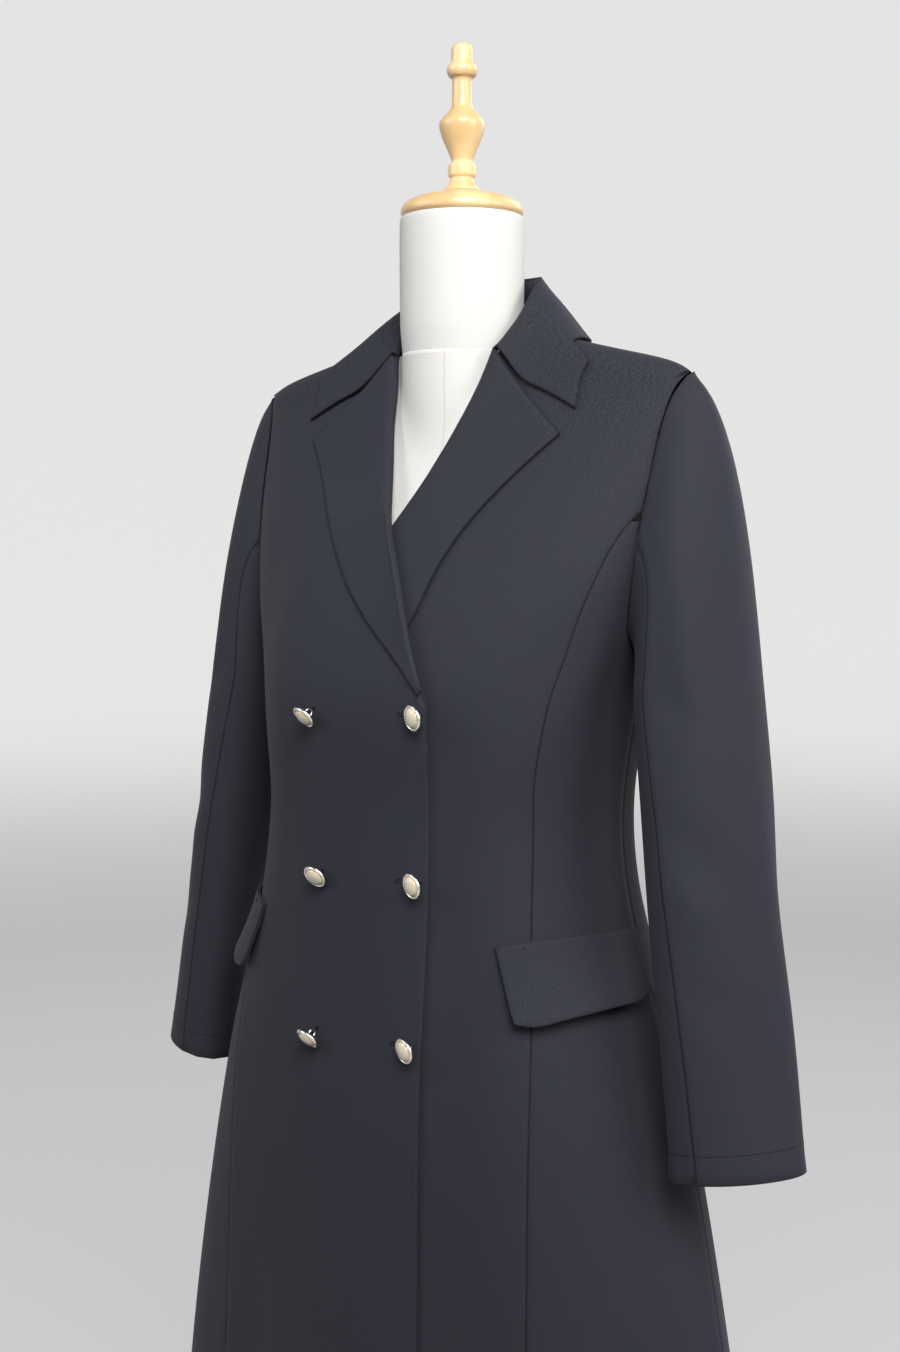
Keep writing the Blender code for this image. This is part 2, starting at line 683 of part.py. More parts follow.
def shank_foot(front, place, facing, tilt):
    """How far along its shank a button's foot starts, to be a seam gap from the faces of the front."""
    reached = []
    for k in range(8):
        turn = 2 * math.pi * k / 8
        above = place @ Vector((SHANK_RADIUS * math.cos(turn), SHANK_RADIUS * math.sin(turn), 0.02))
        hit = front.ray_cast(above, -facing)[0]
        reached.append((hit - place.translation).dot(facing))
    return max(reached) + SEAM_GAP / math.cos(tilt)


def make_buttons():
    """Domed buttons, each hanging from its shank, whose foot is a seam gap from the right front."""
    radius = BUTTON_RADIUS
    mesh = bpy.data.objects["right_front"].data
    corners = [vertex.co for vertex in mesh.vertices]
    front = BVHTree.FromPolygons(corners, [face.vertices[:] for face in mesh.polygons])
    for button in BUTTONS:
        height = BUTTON_ROWS[button.row]
        angle = front_angle(button.place, height)
        seat = raised(angle, height, right_lift(button.place, height))
        turn, droop = math.radians(button.turn), math.radians(button.droop)
        level = Vector((math.sin(turn), -math.cos(turn), 0))
        facing = level * math.cos(droop) - Vector((0, 0, math.sin(droop)))
        place = Matrix.Translation(seat) @ facing.to_track_quat("Z", "Y").to_matrix().to_4x4()
        tilt = facing.angle(body_normal(angle, height))
        foot = shank_foot(front, place, facing, tilt)
        back = button.reach
        rim = (
            (foot, SHANK_RADIUS), (back, 0.0016), (back + 0.0006, 0.0070), (back + 0.0016, radius * 0.97),
            (back + 0.0032, radius), (back + 0.0044, radius * 0.93), (back + 0.0044, radius * 0.80),
            (back + 0.0030, radius * 0.78),
        )
        dome = (
            (back + 0.0033, radius * 0.740), (back + 0.0046, radius * 0.745),
            (back + 0.0062, radius * 0.560), (back + 0.0070, radius * 0.250),
        )
        turned(f"{button.name}_rim", rim, 14, METAL_COLOUR, 0.25, 1.0, place)
        turned(f"{button.name}_dome", dome, 14, IVORY_COLOUR, 0.25, 0.0, place)


def form_point(turn, height):
    """The form's padded torso: the coat's sections drawn in, with the root of the neck."""
    shoulder = blend(1.330, SHOULDER_HEIGHT, height)
    width = track(BODY, "half_width", height) - FORM_SLACK * (1 - shoulder) - SHOULDER_REST
    front = track(BODY, "front", height) - 0.5 * FORM_SLACK - 0.004 * shoulder
    back = track(BODY, "back", height) - 0.5 * FORM_SLACK * (1 - shoulder) - CLOTH
    square = track(BODY, "square", height)
    sine, cosine = math.sin(turn), math.cos(turn)
    depth = front if cosine > 0 else back
    reach = ((abs(sine) / width) ** square + (abs(cosine) / depth) ** square) ** (-1 / square)
    if height > NECK_ROOT_HEIGHT:
        reach = (reach ** 24 + NECK_ROOT_RADIUS ** 24) ** (1 / 24)
    y = track(BODY, "centre_y", height) * (1 - blend(1.280, SHOULDER_HEIGHT, height))
    return Vector((reach * sine, y - reach * cosine, height))


def make_form():
    """The dress form: torso, neck, wooden cap and finial, and the stand that carries it."""
    maker = bmesh.new()
    heights = [FORM_BOTTOM] + [h for h in LEVELS if FORM_BOTTOM + 0.02 < h < FORM_TOP - 0.002] + [FORM_TOP]
    segments = 28
    rings = []
    turns = [2 * math.pi * k / segments for k in range(segments)]
    for height in heights:
        rings.append([maker.verts.new(form_point(turn, height)) for turn in turns])
    for low, high in zip(rings, rings[1:]):
        for k in range(segments):
            after = (k + 1) % segments
            maker.faces.new((low[k], low[after], high[after], high[k]))
    maker.faces.new(rings[0])
    maker.faces.new(rings[-1])
    finish("form_torso", maker, FORM_COLOUR, 0.9)
    neck = (
        (FORM_TOP + SEAM_GAP, NECK_ROOT_RADIUS), (1.400, 0.0480), (1.440, 0.0485),
        (1.470, NECK_RADIUS), (CAP_BOTTOM - SEAM_GAP, NECK_RADIUS - 0.0005),
    )
    turned("form_neck", neck, 28, FORM_COLOUR, 0.9)
    lift = Matrix.Translation((0, 0, CAP_BOTTOM))
    turned("neck_cap", [tuple(row) for row in CAP], 28, WOOD_COLOUR, 0.45, 0.0, lift)
    turned("finial", [tuple(row) for row in FINIAL], 18, WOOD_COLOUR, 0.45, 0.0, lift)
    base = (
        (0.0, BASE_RADIUS), (0.010, BASE_RADIUS), (0.014, BASE_RADIUS - 0.006),
        (0.018, 0.050), (0.022, 0.030), (0.045, 0.024),
    )
    turned("base", base, 32, METAL_COLOUR, 0.4, 1.0)
    pole = ((0.045 + SEAM_GAP, POLE_RADIUS), (FORM_BOTTOM - SEAM_GAP, POLE_RADIUS))
    turned("pole", pole, 16, METAL_COLOUR, 0.35, 1.0)


make_body()
make_sleeves()
make_lapels()
make_collar()
make_flaps()
make_buttons()
make_form()
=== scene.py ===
# %% [markdown]
# # A charcoal double-breasted coat on a dress form
#
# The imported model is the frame: thin faceted walls at their true size and place. This script gives
# every piece its looks. Each cloth wall becomes a smooth shell with rounded edges, soft folds and a
# woven finish. The buttons, the wooden cap and finial, and the stand are turned again with more
# detail than the solids have, and the sewing that is too small for the solids is added.

# %% Load the frame
import math

import bmesh
import bpy
import numpy as np
from mathutils import Matrix, Vector
from mathutils.bvhtree import BVHTree
from mathutils.kdtree import KDTree


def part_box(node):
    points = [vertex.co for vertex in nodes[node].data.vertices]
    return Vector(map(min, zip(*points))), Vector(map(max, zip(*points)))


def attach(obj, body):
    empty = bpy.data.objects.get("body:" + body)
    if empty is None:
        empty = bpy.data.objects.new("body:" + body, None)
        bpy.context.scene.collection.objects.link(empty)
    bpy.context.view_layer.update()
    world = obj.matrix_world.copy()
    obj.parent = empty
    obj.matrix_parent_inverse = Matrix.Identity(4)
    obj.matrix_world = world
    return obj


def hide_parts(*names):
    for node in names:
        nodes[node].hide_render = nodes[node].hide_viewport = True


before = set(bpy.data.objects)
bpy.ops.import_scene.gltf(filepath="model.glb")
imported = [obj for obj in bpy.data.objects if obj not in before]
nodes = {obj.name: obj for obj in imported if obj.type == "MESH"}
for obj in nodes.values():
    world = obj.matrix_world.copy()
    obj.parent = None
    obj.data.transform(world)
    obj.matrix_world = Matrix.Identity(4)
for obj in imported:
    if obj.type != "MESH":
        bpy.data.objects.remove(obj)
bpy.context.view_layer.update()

# %% [markdown]
# The camera comes first, because every later choice is judged through it. It stands to the wearer's
# left and a little below the top of the shoulders, and looks slightly down. The lens is worked out
# from a focal length in pixels of the photograph, with the sensor's width on the long side.

# %% Camera
PHOTO_HEIGHT = 1352
FOCAL_PIXELS = 1700
SENSOR = 36.0
CAMERA_PLACE = (0.800, -1.081, 1.255)
CAMERA_TURN = math.radians(36.9)
CAMERA_PITCH = math.radians(-5.24)

camera_data = bpy.data.cameras.new("camera")
camera_data.sensor_width = SENSOR
camera_data.lens = SENSOR * FOCAL_PIXELS / PHOTO_HEIGHT
camera = bpy.data.objects.new("camera", camera_data)
bpy.context.scene.collection.objects.link(camera)
camera.location = CAMERA_PLACE
camera.rotation_euler = (math.pi / 2 + CAMERA_PITCH, 0, CAMERA_TURN)
bpy.context.scene.camera = camera
print("lens", round(camera_data.lens, 2), "mm")

# %% [markdown]
# A few helpers are used all the way through. Operators act on whatever is selected, and the loaded
# nodes start out selected, so `clear_selection` is called before each primitive is added. `settle`
# puts a piece's place into its mesh and points its faces outwards.

# %% Helpers for making pieces
UP = Vector((0, 0, 1))


def clear_selection():
    bpy.ops.object.select_all(action="DESELECT")


def add_object(title, data):
    piece = bpy.data.objects.new(title, data)
    bpy.context.scene.collection.objects.link(piece)
    return piece


def make_active(piece):
    clear_selection()
    piece.select_set(True)
    bpy.context.view_layer.objects.active = piece


def settle(piece, title, smooth_degrees):
    """Name a piece, apply its place, merge its doubles and shade it smooth up to an angle."""
    make_active(piece)
    piece.name = title
    piece.data.name = title
    bpy.ops.object.transform_apply(location=True, rotation=True, scale=True)
    bpy.ops.object.mode_set(mode="EDIT")
    bpy.ops.mesh.select_all(action="SELECT")
    bpy.ops.mesh.remove_doubles(threshold=0.00001)
    bpy.ops.mesh.normals_make_consistent(inside=False)
    bpy.ops.object.mode_set(mode="OBJECT")
    bpy.ops.object.shade_smooth_by_angle(angle=math.radians(smooth_degrees))
    return piece


def apply_modifiers(piece):
    make_active(piece)
    for modifier in list(piece.modifiers):
        bpy.ops.object.modifier_apply(modifier=modifier.name)


def join(pieces, title):
    clear_selection()
    for piece in pieces:
        piece.select_set(True)
    bpy.context.view_layer.objects.active = pieces[0]
    bpy.ops.object.join()
    pieces[0].name = title
    pieces[0].data.name = title
    return pieces[0]


def triangles(piece):
    return sum(len(face.vertices) - 2 for face in piece.data.polygons)


def turned(title, profile, steps, smooth_degrees):
    """Turn a profile of (radius, height) pairs round the Z axis, as on a lathe."""
    clear_selection()
    bpy.ops.mesh.primitive_plane_add(size=0.001, location=(0, 0, 0))
    piece = bpy.context.active_object
    bpy.ops.object.mode_set(mode="EDIT")
    bpy.ops.mesh.merge(type="CENTER")
    start = Vector((profile[0][0], 0, profile[0][1]))
    bpy.ops.transform.translate(value=start)
    for before, after in zip(profile, profile[1:]):
        step = (after[0] - before[0], 0, after[1] - before[1])
        bpy.ops.mesh.extrude_region_move(TRANSFORM_OT_translate={"value": step})
    bpy.ops.mesh.select_all(action="SELECT")
    bpy.ops.mesh.spin(steps=steps, angle=2 * math.pi, center=(0, 0, 0), axis=(0, 0, 1))
    bpy.ops.object.mode_set(mode="OBJECT")
    return settle(piece, title, smooth_degrees)


def rounded(profile, steps=4):
    """Read a smooth curve through the points of a profile, so that a turning has soft beads."""
    points = [Vector(point) for point in profile]
    curve = []
    for i in range(len(points) - 1):
        first = points[max(i - 1, 0)]
        start, end = points[i], points[i + 1]
        last = points[min(i + 2, len(points) - 1)]
        for k in range(steps):
            t = k / steps
            before = (end - first) * 0.5
            after = (last - start) * 0.5
            rise = t * t * (3 - 2 * t)
            curve.append(
                start * (1 - rise) + end * rise
                + before * t * (1 - t) ** 2 - after * t * t * (1 - t)
            )
    curve.append(points[-1])
    return [(max(point.x, 0.0), point.y) for point in curve]


# %% [markdown]
# Two effects serve more than one finish, so each is a node group that is built once. `weave` draws
# the fine crossing threads of a cloth and a soft, uneven heather over them. The other paints a
# highlight on what sticks out, found from the surface's own pointiness and broken up by a noise.

# %% Shared shader groups
def new_group(title, inputs, outputs):
    group = bpy.data.node_groups.new(title, "ShaderNodeTree")
    for name, kind, value in inputs:
        socket = group.interface.new_socket(name=name, in_out="INPUT", socket_type=kind)
        if value is not None:
            socket.default_value = value
    for name, kind in outputs:
        group.interface.new_socket(name=name, in_out="OUTPUT", socket_type=kind)
    return group, group.nodes.new("NodeGroupInput"), group.nodes.new("NodeGroupOutput")


def add_math(tree, operation, first, second=None, clamp=False):
    """A Math node, fed by sockets or by plain numbers."""
    node = tree.nodes.new("ShaderNodeMath")
    node.operation = operation
    node.use_clamp = clamp
    for socket, value in zip(node.inputs, (first, second)):
        if value is None:
            continue
        if isinstance(value, (int, float)):
            socket.default_value = value
        else:
            tree.links.new(value, socket)
    return node.outputs[0]


def times(tree, first, second, clamp=False):
    return add_math(tree, "MULTIPLY", first, second, clamp)


def set_inputs(node, **values):
    """Set inputs by name, with underscores for the spaces."""
    for name, value in values.items():
        node.inputs[name.replace("_", " ")].default_value = value


def add_noise(tree, vector, scale=None, detail=None):
    """A Noise texture on some coordinates."""
    node = tree.nodes.new("ShaderNodeTexNoise")
    if scale is not None:
        node.inputs["Scale"].default_value = scale
    if detail is not None:
        node.inputs["Detail"].default_value = detail
    tree.links.new(vector, node.inputs["Vector"])
    return node


def object_place(tree):
    return tree.nodes.new("ShaderNodeTexCoord").outputs["Object"]


def make_weave_group():
    inputs = (
        ("Vector", "NodeSocketVector", None),
        ("Threads per metre", "NodeSocketFloat", 1400.0),
        ("Heather per metre", "NodeSocketFloat", 260.0),
        ("Twill", "NodeSocketFloat", 1.0),
    )
    outputs = [(name, "NodeSocketFloat") for name in ("Height", "Heather", "Cloud")]
    group, given, result = new_group("weave", inputs, outputs)
    parts = group.nodes.new("ShaderNodeSeparateXYZ")
    group.links.new(given.outputs["Vector"], parts.inputs[0])
    along = times(group, parts.outputs["X"], given.outputs["Threads per metre"])
    down = times(group, parts.outputs["Y"], given.outputs["Threads per metre"])
    slanted = add_math(group, "ADD", down, times(group, along, given.outputs["Twill"]))
    rib = add_math(group, "SINE", times(group, slanted, math.pi))
    thread = add_math(group, "SINE", times(group, along, math.pi))
    rib = times(group, rib, 0.3)
    ribs = add_math(group, "ADD", rib, times(group, thread, 0.2))
    fine = add_noise(group, given.outputs["Vector"], detail=3.0)
    fine.inputs["Roughness"].default_value = 0.7
    group.links.new(given.outputs["Heather per metre"], fine.inputs["Scale"])
    broad = add_noise(group, given.outputs["Vector"], 7.0, 2.0)
    height = add_math(group, "ADD", ribs, times(group, fine.outputs[0], 0.08))
    group.links.new(height, result.inputs["Height"])
    group.links.new(fine.outputs[0], result.inputs["Heather"])
    group.links.new(broad.outputs[0], result.inputs["Cloud"])
    return group


def make_edge_highlight_group():
    inputs = (("Amount", "NodeSocketFloat", 0.5),)
    group, given, result = new_group("painted_edge_highlight", inputs, (("Mask", "NodeSocketFloat"),))
    geometry = group.nodes.new("ShaderNodeNewGeometry")
    # Painted highlight: pointy, outstanding edges are marked, where a real edge would catch the light.
    edge = add_math(group, "SUBTRACT", geometry.outputs["Pointiness"], 0.5)
    edge = times(group, edge, 9.0, clamp=True)
    highlight_breakup = add_noise(group, object_place(group), 140.0)
    mask = times(group, edge, highlight_breakup.outputs[0])
    mask = times(group, mask, given.outputs["Amount"], clamp=True)
    group.links.new(mask, result.inputs["Mask"])
    return group


WEAVE = make_weave_group()
EDGE_HIGHLIGHT = make_edge_highlight_group()
print("groups", WEAVE.name, EDGE_HIGHLIGHT.name)

# %% [markdown]
# Each finish is its own material. The coat's cloth is a smooth dark suiting: nearly black, a little
# blue, with a sheen that lifts it where it turns away. Two attributes are painted on every cloth
# shell: `seam`, the distance in metres to the piece's own cut edge, and `pressed`, the distance to
# a line that was pressed or stitched beside it. The material sinks the pucker and the line there,
# and darkens both with painted shade, as if shade lay in their grooves.

# %% Materials
COAT_DARK = (0.0120, 0.0128, 0.0165)
COAT_LIGHT = (0.0440, 0.0472, 0.0630)
COTTON_DARK = (0.66, 0.652, 0.63)
COTTON_LIGHT = (0.74, 0.735, 0.715)


def new_material(title, roughness, metallic=0.0):
    material = bpy.data.materials.new(title)
    material.use_nodes = True
    tree = material.node_tree
    shader = tree.nodes["Principled BSDF"]
    set_inputs(shader, Roughness=roughness, Metallic=metallic)
    return material, tree, shader


def use_group(tree, group, **values):
    node = tree.nodes.new("ShaderNodeGroup")
    node.node_tree = group
    set_inputs(node, **values)
    return node


def mix_colours(tree, factor, first, second):
    node = tree.nodes.new("ShaderNodeMix")
    node.data_type = "RGBA"
    tree.links.new(factor, node.inputs["Factor"])
    for socket, value in ((node.inputs["A"], first), (node.inputs["B"], second)):
        if isinstance(value, tuple):
            socket.default_value = (*value, 1.0)
        else:
            tree.links.new(value, socket)
    return node.outputs["Result"]


def fade(tree, value, start, end):
    """1 at start, falling smoothly to 0 at end."""
    node = tree.nodes.new("ShaderNodeMapRange")
    node.interpolation_type = "SMOOTHSTEP"
    tree.links.new(value, node.inputs["Value"])
    set_inputs(node, From_Min=start, From_Max=end, To_Min=1.0, To_Max=0.0)
    return node.outputs["Result"]


def read_attribute(tree, name):
    node = tree.nodes.new("ShaderNodeAttribute")
    node.attribute_name = name
    return node.outputs["Fac"]


def add_bump(tree, shader, height, distance, strength):
    bump = tree.nodes.new("ShaderNodeBump")
    set_inputs(bump, Distance=distance, Strength=strength)
    tree.links.new(height, bump.inputs["Height"])
    tree.links.new(bump.outputs["Normal"], shader.inputs["Normal"])


def woven(tree, threads, heather, twill):
    """The weave on the UV map that every piece of cloth has."""
    place = tree.nodes.new("ShaderNodeUVMap")
    place.uv_map = "cloth"
    weave = use_group(tree, WEAVE, Threads_per_metre=threads, Heather_per_metre=heather, Twill=twill)
    tree.links.new(place.outputs[0], weave.inputs["Vector"])
    return weave


def make_cloth_material():
    material, tree, shader = new_material("charcoal suiting", 0.72)
    set_inputs(
        shader, Sheen_Weight=0.06, Sheen_Roughness=0.45, Sheen_Tint=(0.60, 0.61, 0.68, 1.0),
        Specular_IOR_Level=0.14,
    )
    weave = woven(tree, 1300.0, 1700.0, 1.0)
    heather = fade(tree, weave.outputs["Heather"], 0.66, 0.36)
    colour = mix_colours(tree, heather, COAT_DARK, COAT_LIGHT)
    cloud = times(tree, weave.outputs["Cloud"], 0.22)
    colour = mix_colours(tree, cloud, colour, (0.026, 0.025, 0.036))
    seam = read_attribute(tree, "seam")
    pressed = read_attribute(tree, "pressed")
    in_seam = fade(tree, seam, 0.0002, 0.0014)
    on_line = fade(tree, pressed, 0.0002, 0.0011)
    # Painted shade: the seams and the pressed line are darkened towards near black.
    shade = times(tree, add_math(tree, "MAXIMUM", in_seam, on_line), 0.55)
    colour = mix_colours(tree, shade, colour, (0.006, 0.0065, 0.009))
    tree.links.new(colour, shader.inputs["Base Color"])
    pucker = fade(tree, seam, 0.0, 0.0042)
    height = times(tree, weave.outputs["Height"], 0.05)
    height = add_math(tree, "SUBTRACT", height, times(tree, pucker, 1.3))
    height = add_math(tree, "SUBTRACT", height, times(tree, on_line, 0.9))
    add_bump(tree, shader, height, 0.0004, 0.7)
    return material


def make_cotton_material():
    material, tree, shader = new_material("cotton cover", 0.86)
    set_inputs(shader, Sheen_Weight=0.15, Specular_IOR_Level=0.25)
    weave = woven(tree, 900.0, 300.0, 0.0)
    colour = mix_colours(tree, weave.outputs["Heather"], COTTON_DARK, COTTON_LIGHT)
    cloud = times(tree, weave.outputs["Cloud"], 0.3)
    colour = mix_colours(tree, cloud, colour, COTTON_LIGHT)
    pressed = read_attribute(tree, "pressed")
    on_line = fade(tree, pressed, 0.0002, 0.0014)
    # Painted shade: the sewn lines of the cover are darkened, as if shade lay in their grooves.
    shade = times(tree, on_line, 0.35)
    colour = mix_colours(tree, shade, colour, (0.50, 0.49, 0.47))
    tree.links.new(colour, shader.inputs["Base Color"])
    height = times(tree, weave.outputs["Height"], 0.15)
    height = add_math(tree, "SUBTRACT", height, on_line)
    add_bump(tree, shader, height, 0.0004, 0.6)
    return material


def make_wood_material():
    material, tree, shader = new_material("varnished birch", 0.34)
    set_inputs(shader, Coat_Weight=0.35, Coat_Roughness=0.16)
    stretch = tree.nodes.new("ShaderNodeMapping")
    stretch.inputs["Scale"].default_value = (1.0, 1.0, 0.09)
    tree.links.new(object_place(tree), stretch.inputs["Vector"])
    warp = add_noise(tree, stretch.outputs[0], 60.0, 4.0)
    grain = tree.nodes.new("ShaderNodeTexWave")
    grain.wave_type = "RINGS"
    set_inputs(grain, Scale=42.0, Distortion=5.0, Detail=3.0)
    tree.links.new(stretch.outputs[0], grain.inputs["Vector"])
    colour = mix_colours(tree, grain.outputs["Fac"], (0.72, 0.47, 0.21), (0.84, 0.62, 0.33))
    fleck = times(tree, warp.outputs[0], 0.5)
    colour = mix_colours(tree, fleck, colour, (0.78, 0.52, 0.25))
    # Painted highlight: the edges are mixed towards a pale gold.
    lit_edge = use_group(tree, EDGE_HIGHLIGHT, Amount=0.5)
    colour = mix_colours(tree, lit_edge.outputs["Mask"], colour, (0.93, 0.76, 0.48))
    tree.links.new(colour, shader.inputs["Base Color"])
    add_bump(tree, shader, grain.outputs["Fac"], 0.0001, 0.25)
    return material


def make_metal_material(title, colour, haze_and_highlight, roughness, amount):
    material, tree, shader = new_material(title, roughness, 1.0)
    haze = add_noise(tree, object_place(tree), 900.0, 2.0)
    # The paler colour comes in as a random haze, and along the edges as painted highlight.
    lit_edge = use_group(tree, EDGE_HIGHLIGHT, Amount=amount)
    tone = mix_colours(tree, times(tree, haze.outputs[0], 0.3), colour, haze_and_highlight)
    tone = mix_colours(tree, lit_edge.outputs["Mask"], tone, haze_and_highlight)
    tree.links.new(tone, shader.inputs["Base Color"])
    rough = add_math(tree, "ADD", times(tree, haze.outputs[0], 0.14), roughness - 0.07)
    tree.links.new(rough, shader.inputs["Roughness"])
    return material


def make_enamel_material():
    material, tree, shader = new_material("ivory enamel", 0.16)
    set_inputs(
        shader, Coat_Weight=0.6, Coat_Roughness=0.06, Subsurface_Weight=0.08,
        Subsurface_Radius=(0.002, 0.0015, 0.001),
    )
    cloud = add_noise(tree, object_place(tree), 130.0, 2.0)
    pale = mix_colours(tree, cloud.outputs[0], (0.80, 0.73, 0.60), (0.72, 0.64, 0.50))
    centre = fade(tree, read_attribute(tree, "from_centre"), 0.0052, 0.0074)
    colour = mix_colours(tree, centre, (0.76, 0.60, 0.36), pale)
    tree.links.new(colour, shader.inputs["Base Color"])
    return material


def make_thread_material():
    material, tree, shader = new_material("dark thread", 0.62)
    shader.inputs["Specular IOR Level"].default_value = 0.15
    twist = add_noise(tree, object_place(tree), 1600.0)
    colour = mix_colours(tree, twist.outputs[0], (0.003, 0.003, 0.005), (0.014, 0.015, 0.020))
    tree.links.new(colour, shader.inputs["Base Color"])
    add_bump(tree, shader, twist.outputs[0], 0.0001, 0.4)
    return material


CLOTH = make_cloth_material()
COTTON = make_cotton_material()
WOOD = make_wood_material()
CHROME = make_metal_material("polished button metal", (0.80, 0.78, 0.76), (0.96, 0.95, 0.94), 0.20, 0.8)
STAND_METAL = make_metal_material("satin stand", (0.48, 0.48, 0.49), (0.72, 0.72, 0.73), 0.36, 0.6)
ENAMEL = make_enamel_material()
THREAD = make_thread_material()


def dress(piece, material):
    piece.data.materials.clear()
    piece.data.materials.append(material)


def stand_for(piece, node, material):
    """Give a piece its finish, and let it take a node's place on the body."""
    dress(piece, material)
    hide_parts(node)
    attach(piece, "root")


print("materials", len(bpy.data.materials))

# %% [markdown]
# A real coat is cut flat and hangs in soft, uneven folds. The folds are listed one row each: from
# one point of the cloth to another, with a width and a depth. A minus depth is a trough.
# The same field moves every layer that lies on the body, so that a lapel or a flap follows the
# front under it. The sleeves have a field of their own.

# %% Folds
def as_vectors(rows):
    return [(Vector(start), Vector(end), width, depth) for start, end, width, depth in rows]


BODY_FOLDS = as_vectors((
    ((0.075, -0.115, 1.10), (0.083, -0.130, 0.78), 0.022, -0.0026),
    ((0.110, -0.112, 1.02), (0.125, -0.125, 0.70), 0.024, 0.0018),
    ((0.148, -0.060, 1.19), (0.105, -0.098, 1.12), 0.018, -0.0022),
    ((0.168, -0.045, 1.17), (0.120, -0.090, 1.08), 0.013, 0.0016),
    ((0.085, -0.120, 0.72), (0.100, -0.150, 0.42), 0.034, -0.0040),
    ((0.165, -0.110, 0.70), (0.205, -0.118, 0.40), 0.040, 0.0042),
    ((0.225, -0.030, 0.74), (0.262, -0.020, 0.42), 0.036, -0.0040),
    ((0.000, -0.128, 0.80), (-0.010, -0.155, 0.40), 0.040, 0.0028),
    ((-0.070, -0.118, 1.04), (-0.085, -0.128, 0.74), 0.024, -0.0024),
    ((-0.150, -0.060, 1.18), (-0.108, -0.098, 1.10), 0.017, -0.0021),
    ((-0.095, -0.120, 0.70), (-0.120, -0.145, 0.40), 0.032, -0.0038),
    ((-0.190, -0.095, 0.72), (-0.232, -0.092, 0.41), 0.038, 0.0040),
    ((-0.228, -0.010, 0.70), (-0.268, 0.000, 0.42), 0.036, -0.0036),
    ((0.130, 0.062, 1.150), (0.128, 0.060, 1.075), 0.028, 0.0022),
    ((0.140, 0.066, 0.955), (0.165, 0.075, 0.860), 0.034, 0.0028),
    ((-0.131, 0.060, 1.140), (-0.128, 0.058, 1.080), 0.026, 0.0019),
    ((-0.142, 0.064, 0.950), (-0.168, 0.072, 0.870), 0.032, 0.0024),
    ((0.052, 0.100, 0.76), (0.072, 0.125, 0.40), 0.036, -0.0042),
    ((0.140, 0.100, 0.72), (0.176, 0.098, 0.42), 0.040, 0.0038),
    ((-0.058, 0.100, 0.74), (-0.080, 0.124, 0.41), 0.034, -0.0036),
    ((-0.136, 0.102, 0.78), (-0.165, 0.104, 0.40), 0.042, 0.0042),
    ((0.055, 0.098, 1.10), (0.030, 0.092, 1.00), 0.022, -0.0020),
    ((-0.060, 0.098, 1.09), (-0.036, 0.092, 1.01), 0.020, -0.0018),
    ((0.090, 0.078, 1.24), (0.055, 0.098, 1.16), 0.022, 0.0016),
    ((-0.094, 0.078, 1.25), (-0.050, 0.098, 1.17), 0.024, 0.0015),
))
SLEEVE_FOLDS = as_vectors((
    ((0.205, -0.052, 1.215), (0.222, -0.058, 1.075), 0.014, -0.0030),
    ((0.228, -0.040, 1.235), (0.250, -0.048, 1.060), 0.017, 0.0024),
    ((0.192, -0.040, 1.150), (0.238, -0.052, 1.110), 0.009, -0.0020),
    ((0.214, -0.052, 1.050), (0.262, -0.046, 1.000), 0.013, -0.0026),
    ((0.212, -0.056, 1.010), (0.258, -0.058, 0.975), 0.010, 0.0018),
    ((0.222, -0.050, 0.945), (0.278, -0.056, 0.905), 0.014, -0.0020),
    ((0.262, 0.020, 1.080), (0.270, 0.026, 0.905), 0.017, -0.0026),
    ((0.214, 0.048, 1.130), (0.226, 0.052, 0.990), 0.015, 0.0024),
    ((0.268, -0.020, 0.930), (0.294, -0.030, 0.820), 0.018, -0.0022),
    ((0.232, 0.020, 0.930), (0.250, 0.006, 0.830), 0.014, -0.0020),
))
RIGHT_SLEEVE_SHARE = 0.85
FOLD_RUN_ON = 0.25
FOLD_REACH = 2.6


def fold_height(point, folds):
    """How far the cloth stands out or in at a point, summed over the folds near it."""
    height = 0.0
    for start, end, width, depth in folds:
        run = end - start
        t = (point - start).dot(run) / run.length_squared
        if t < -FOLD_RUN_ON or t > 1 + FOLD_RUN_ON:
            continue
        away = (point - (start + run * t)).length / width
        if away > FOLD_REACH:
            continue
        share = (t + FOLD_RUN_ON) / (1 + 2 * FOLD_RUN_ON)
        taper = math.sin(math.pi * min(1.0, max(0.0, share))) ** 1.5
        height += depth * taper * math.exp(-away * away)
    return height


BODY_MIDDLE_Y = -0.01
# Heights, and the sleeve's middle at each
SLEEVE_Z = (0.794, 0.875, 1.04, 1.12)
SLEEVE_X = (0.2635, 0.252, 0.2255, 0.2115)
SLEEVE_Y = (-0.028, -0.022, -0.006, 0.004)


def body_middle(point):
    return Vector((0, BODY_MIDDLE_Y, point.z))


def body_out(point):
    """The level direction away from the middle of the body."""
    return Vector((point.x, point.y - BODY_MIDDLE_Y, 0)).normalized()


def sleeve_middle(point):
    """The middle of the sleeve on a point's own side, at its height."""
    x = float(np.interp(point.z, SLEEVE_Z, SLEEVE_X))
    y = float(np.interp(point.z, SLEEVE_Z, SLEEVE_Y))
    return Vector((math.copysign(x, point.x), y, point.z))


def sleeve_out(point):
    middle = sleeve_middle(point)
    return Vector((point.x - middle.x, point.y - middle.y, 0)).normalized()


print("folds", len(BODY_FOLDS) + len(SLEEVE_FOLDS))

# %% [markdown]
# Each cloth wall becomes a shell. Its triangles are merged back into the grid they came from, the
# edges round its rim are creased so that the seams stay where they are, and a subdivision surface
# smooths the rest. The folds come next. A small bevel then rounds the cut edges, so that the gap
# at a seam reads as the groove of a pressed seam. The armhole's gap is wider, and still shows.

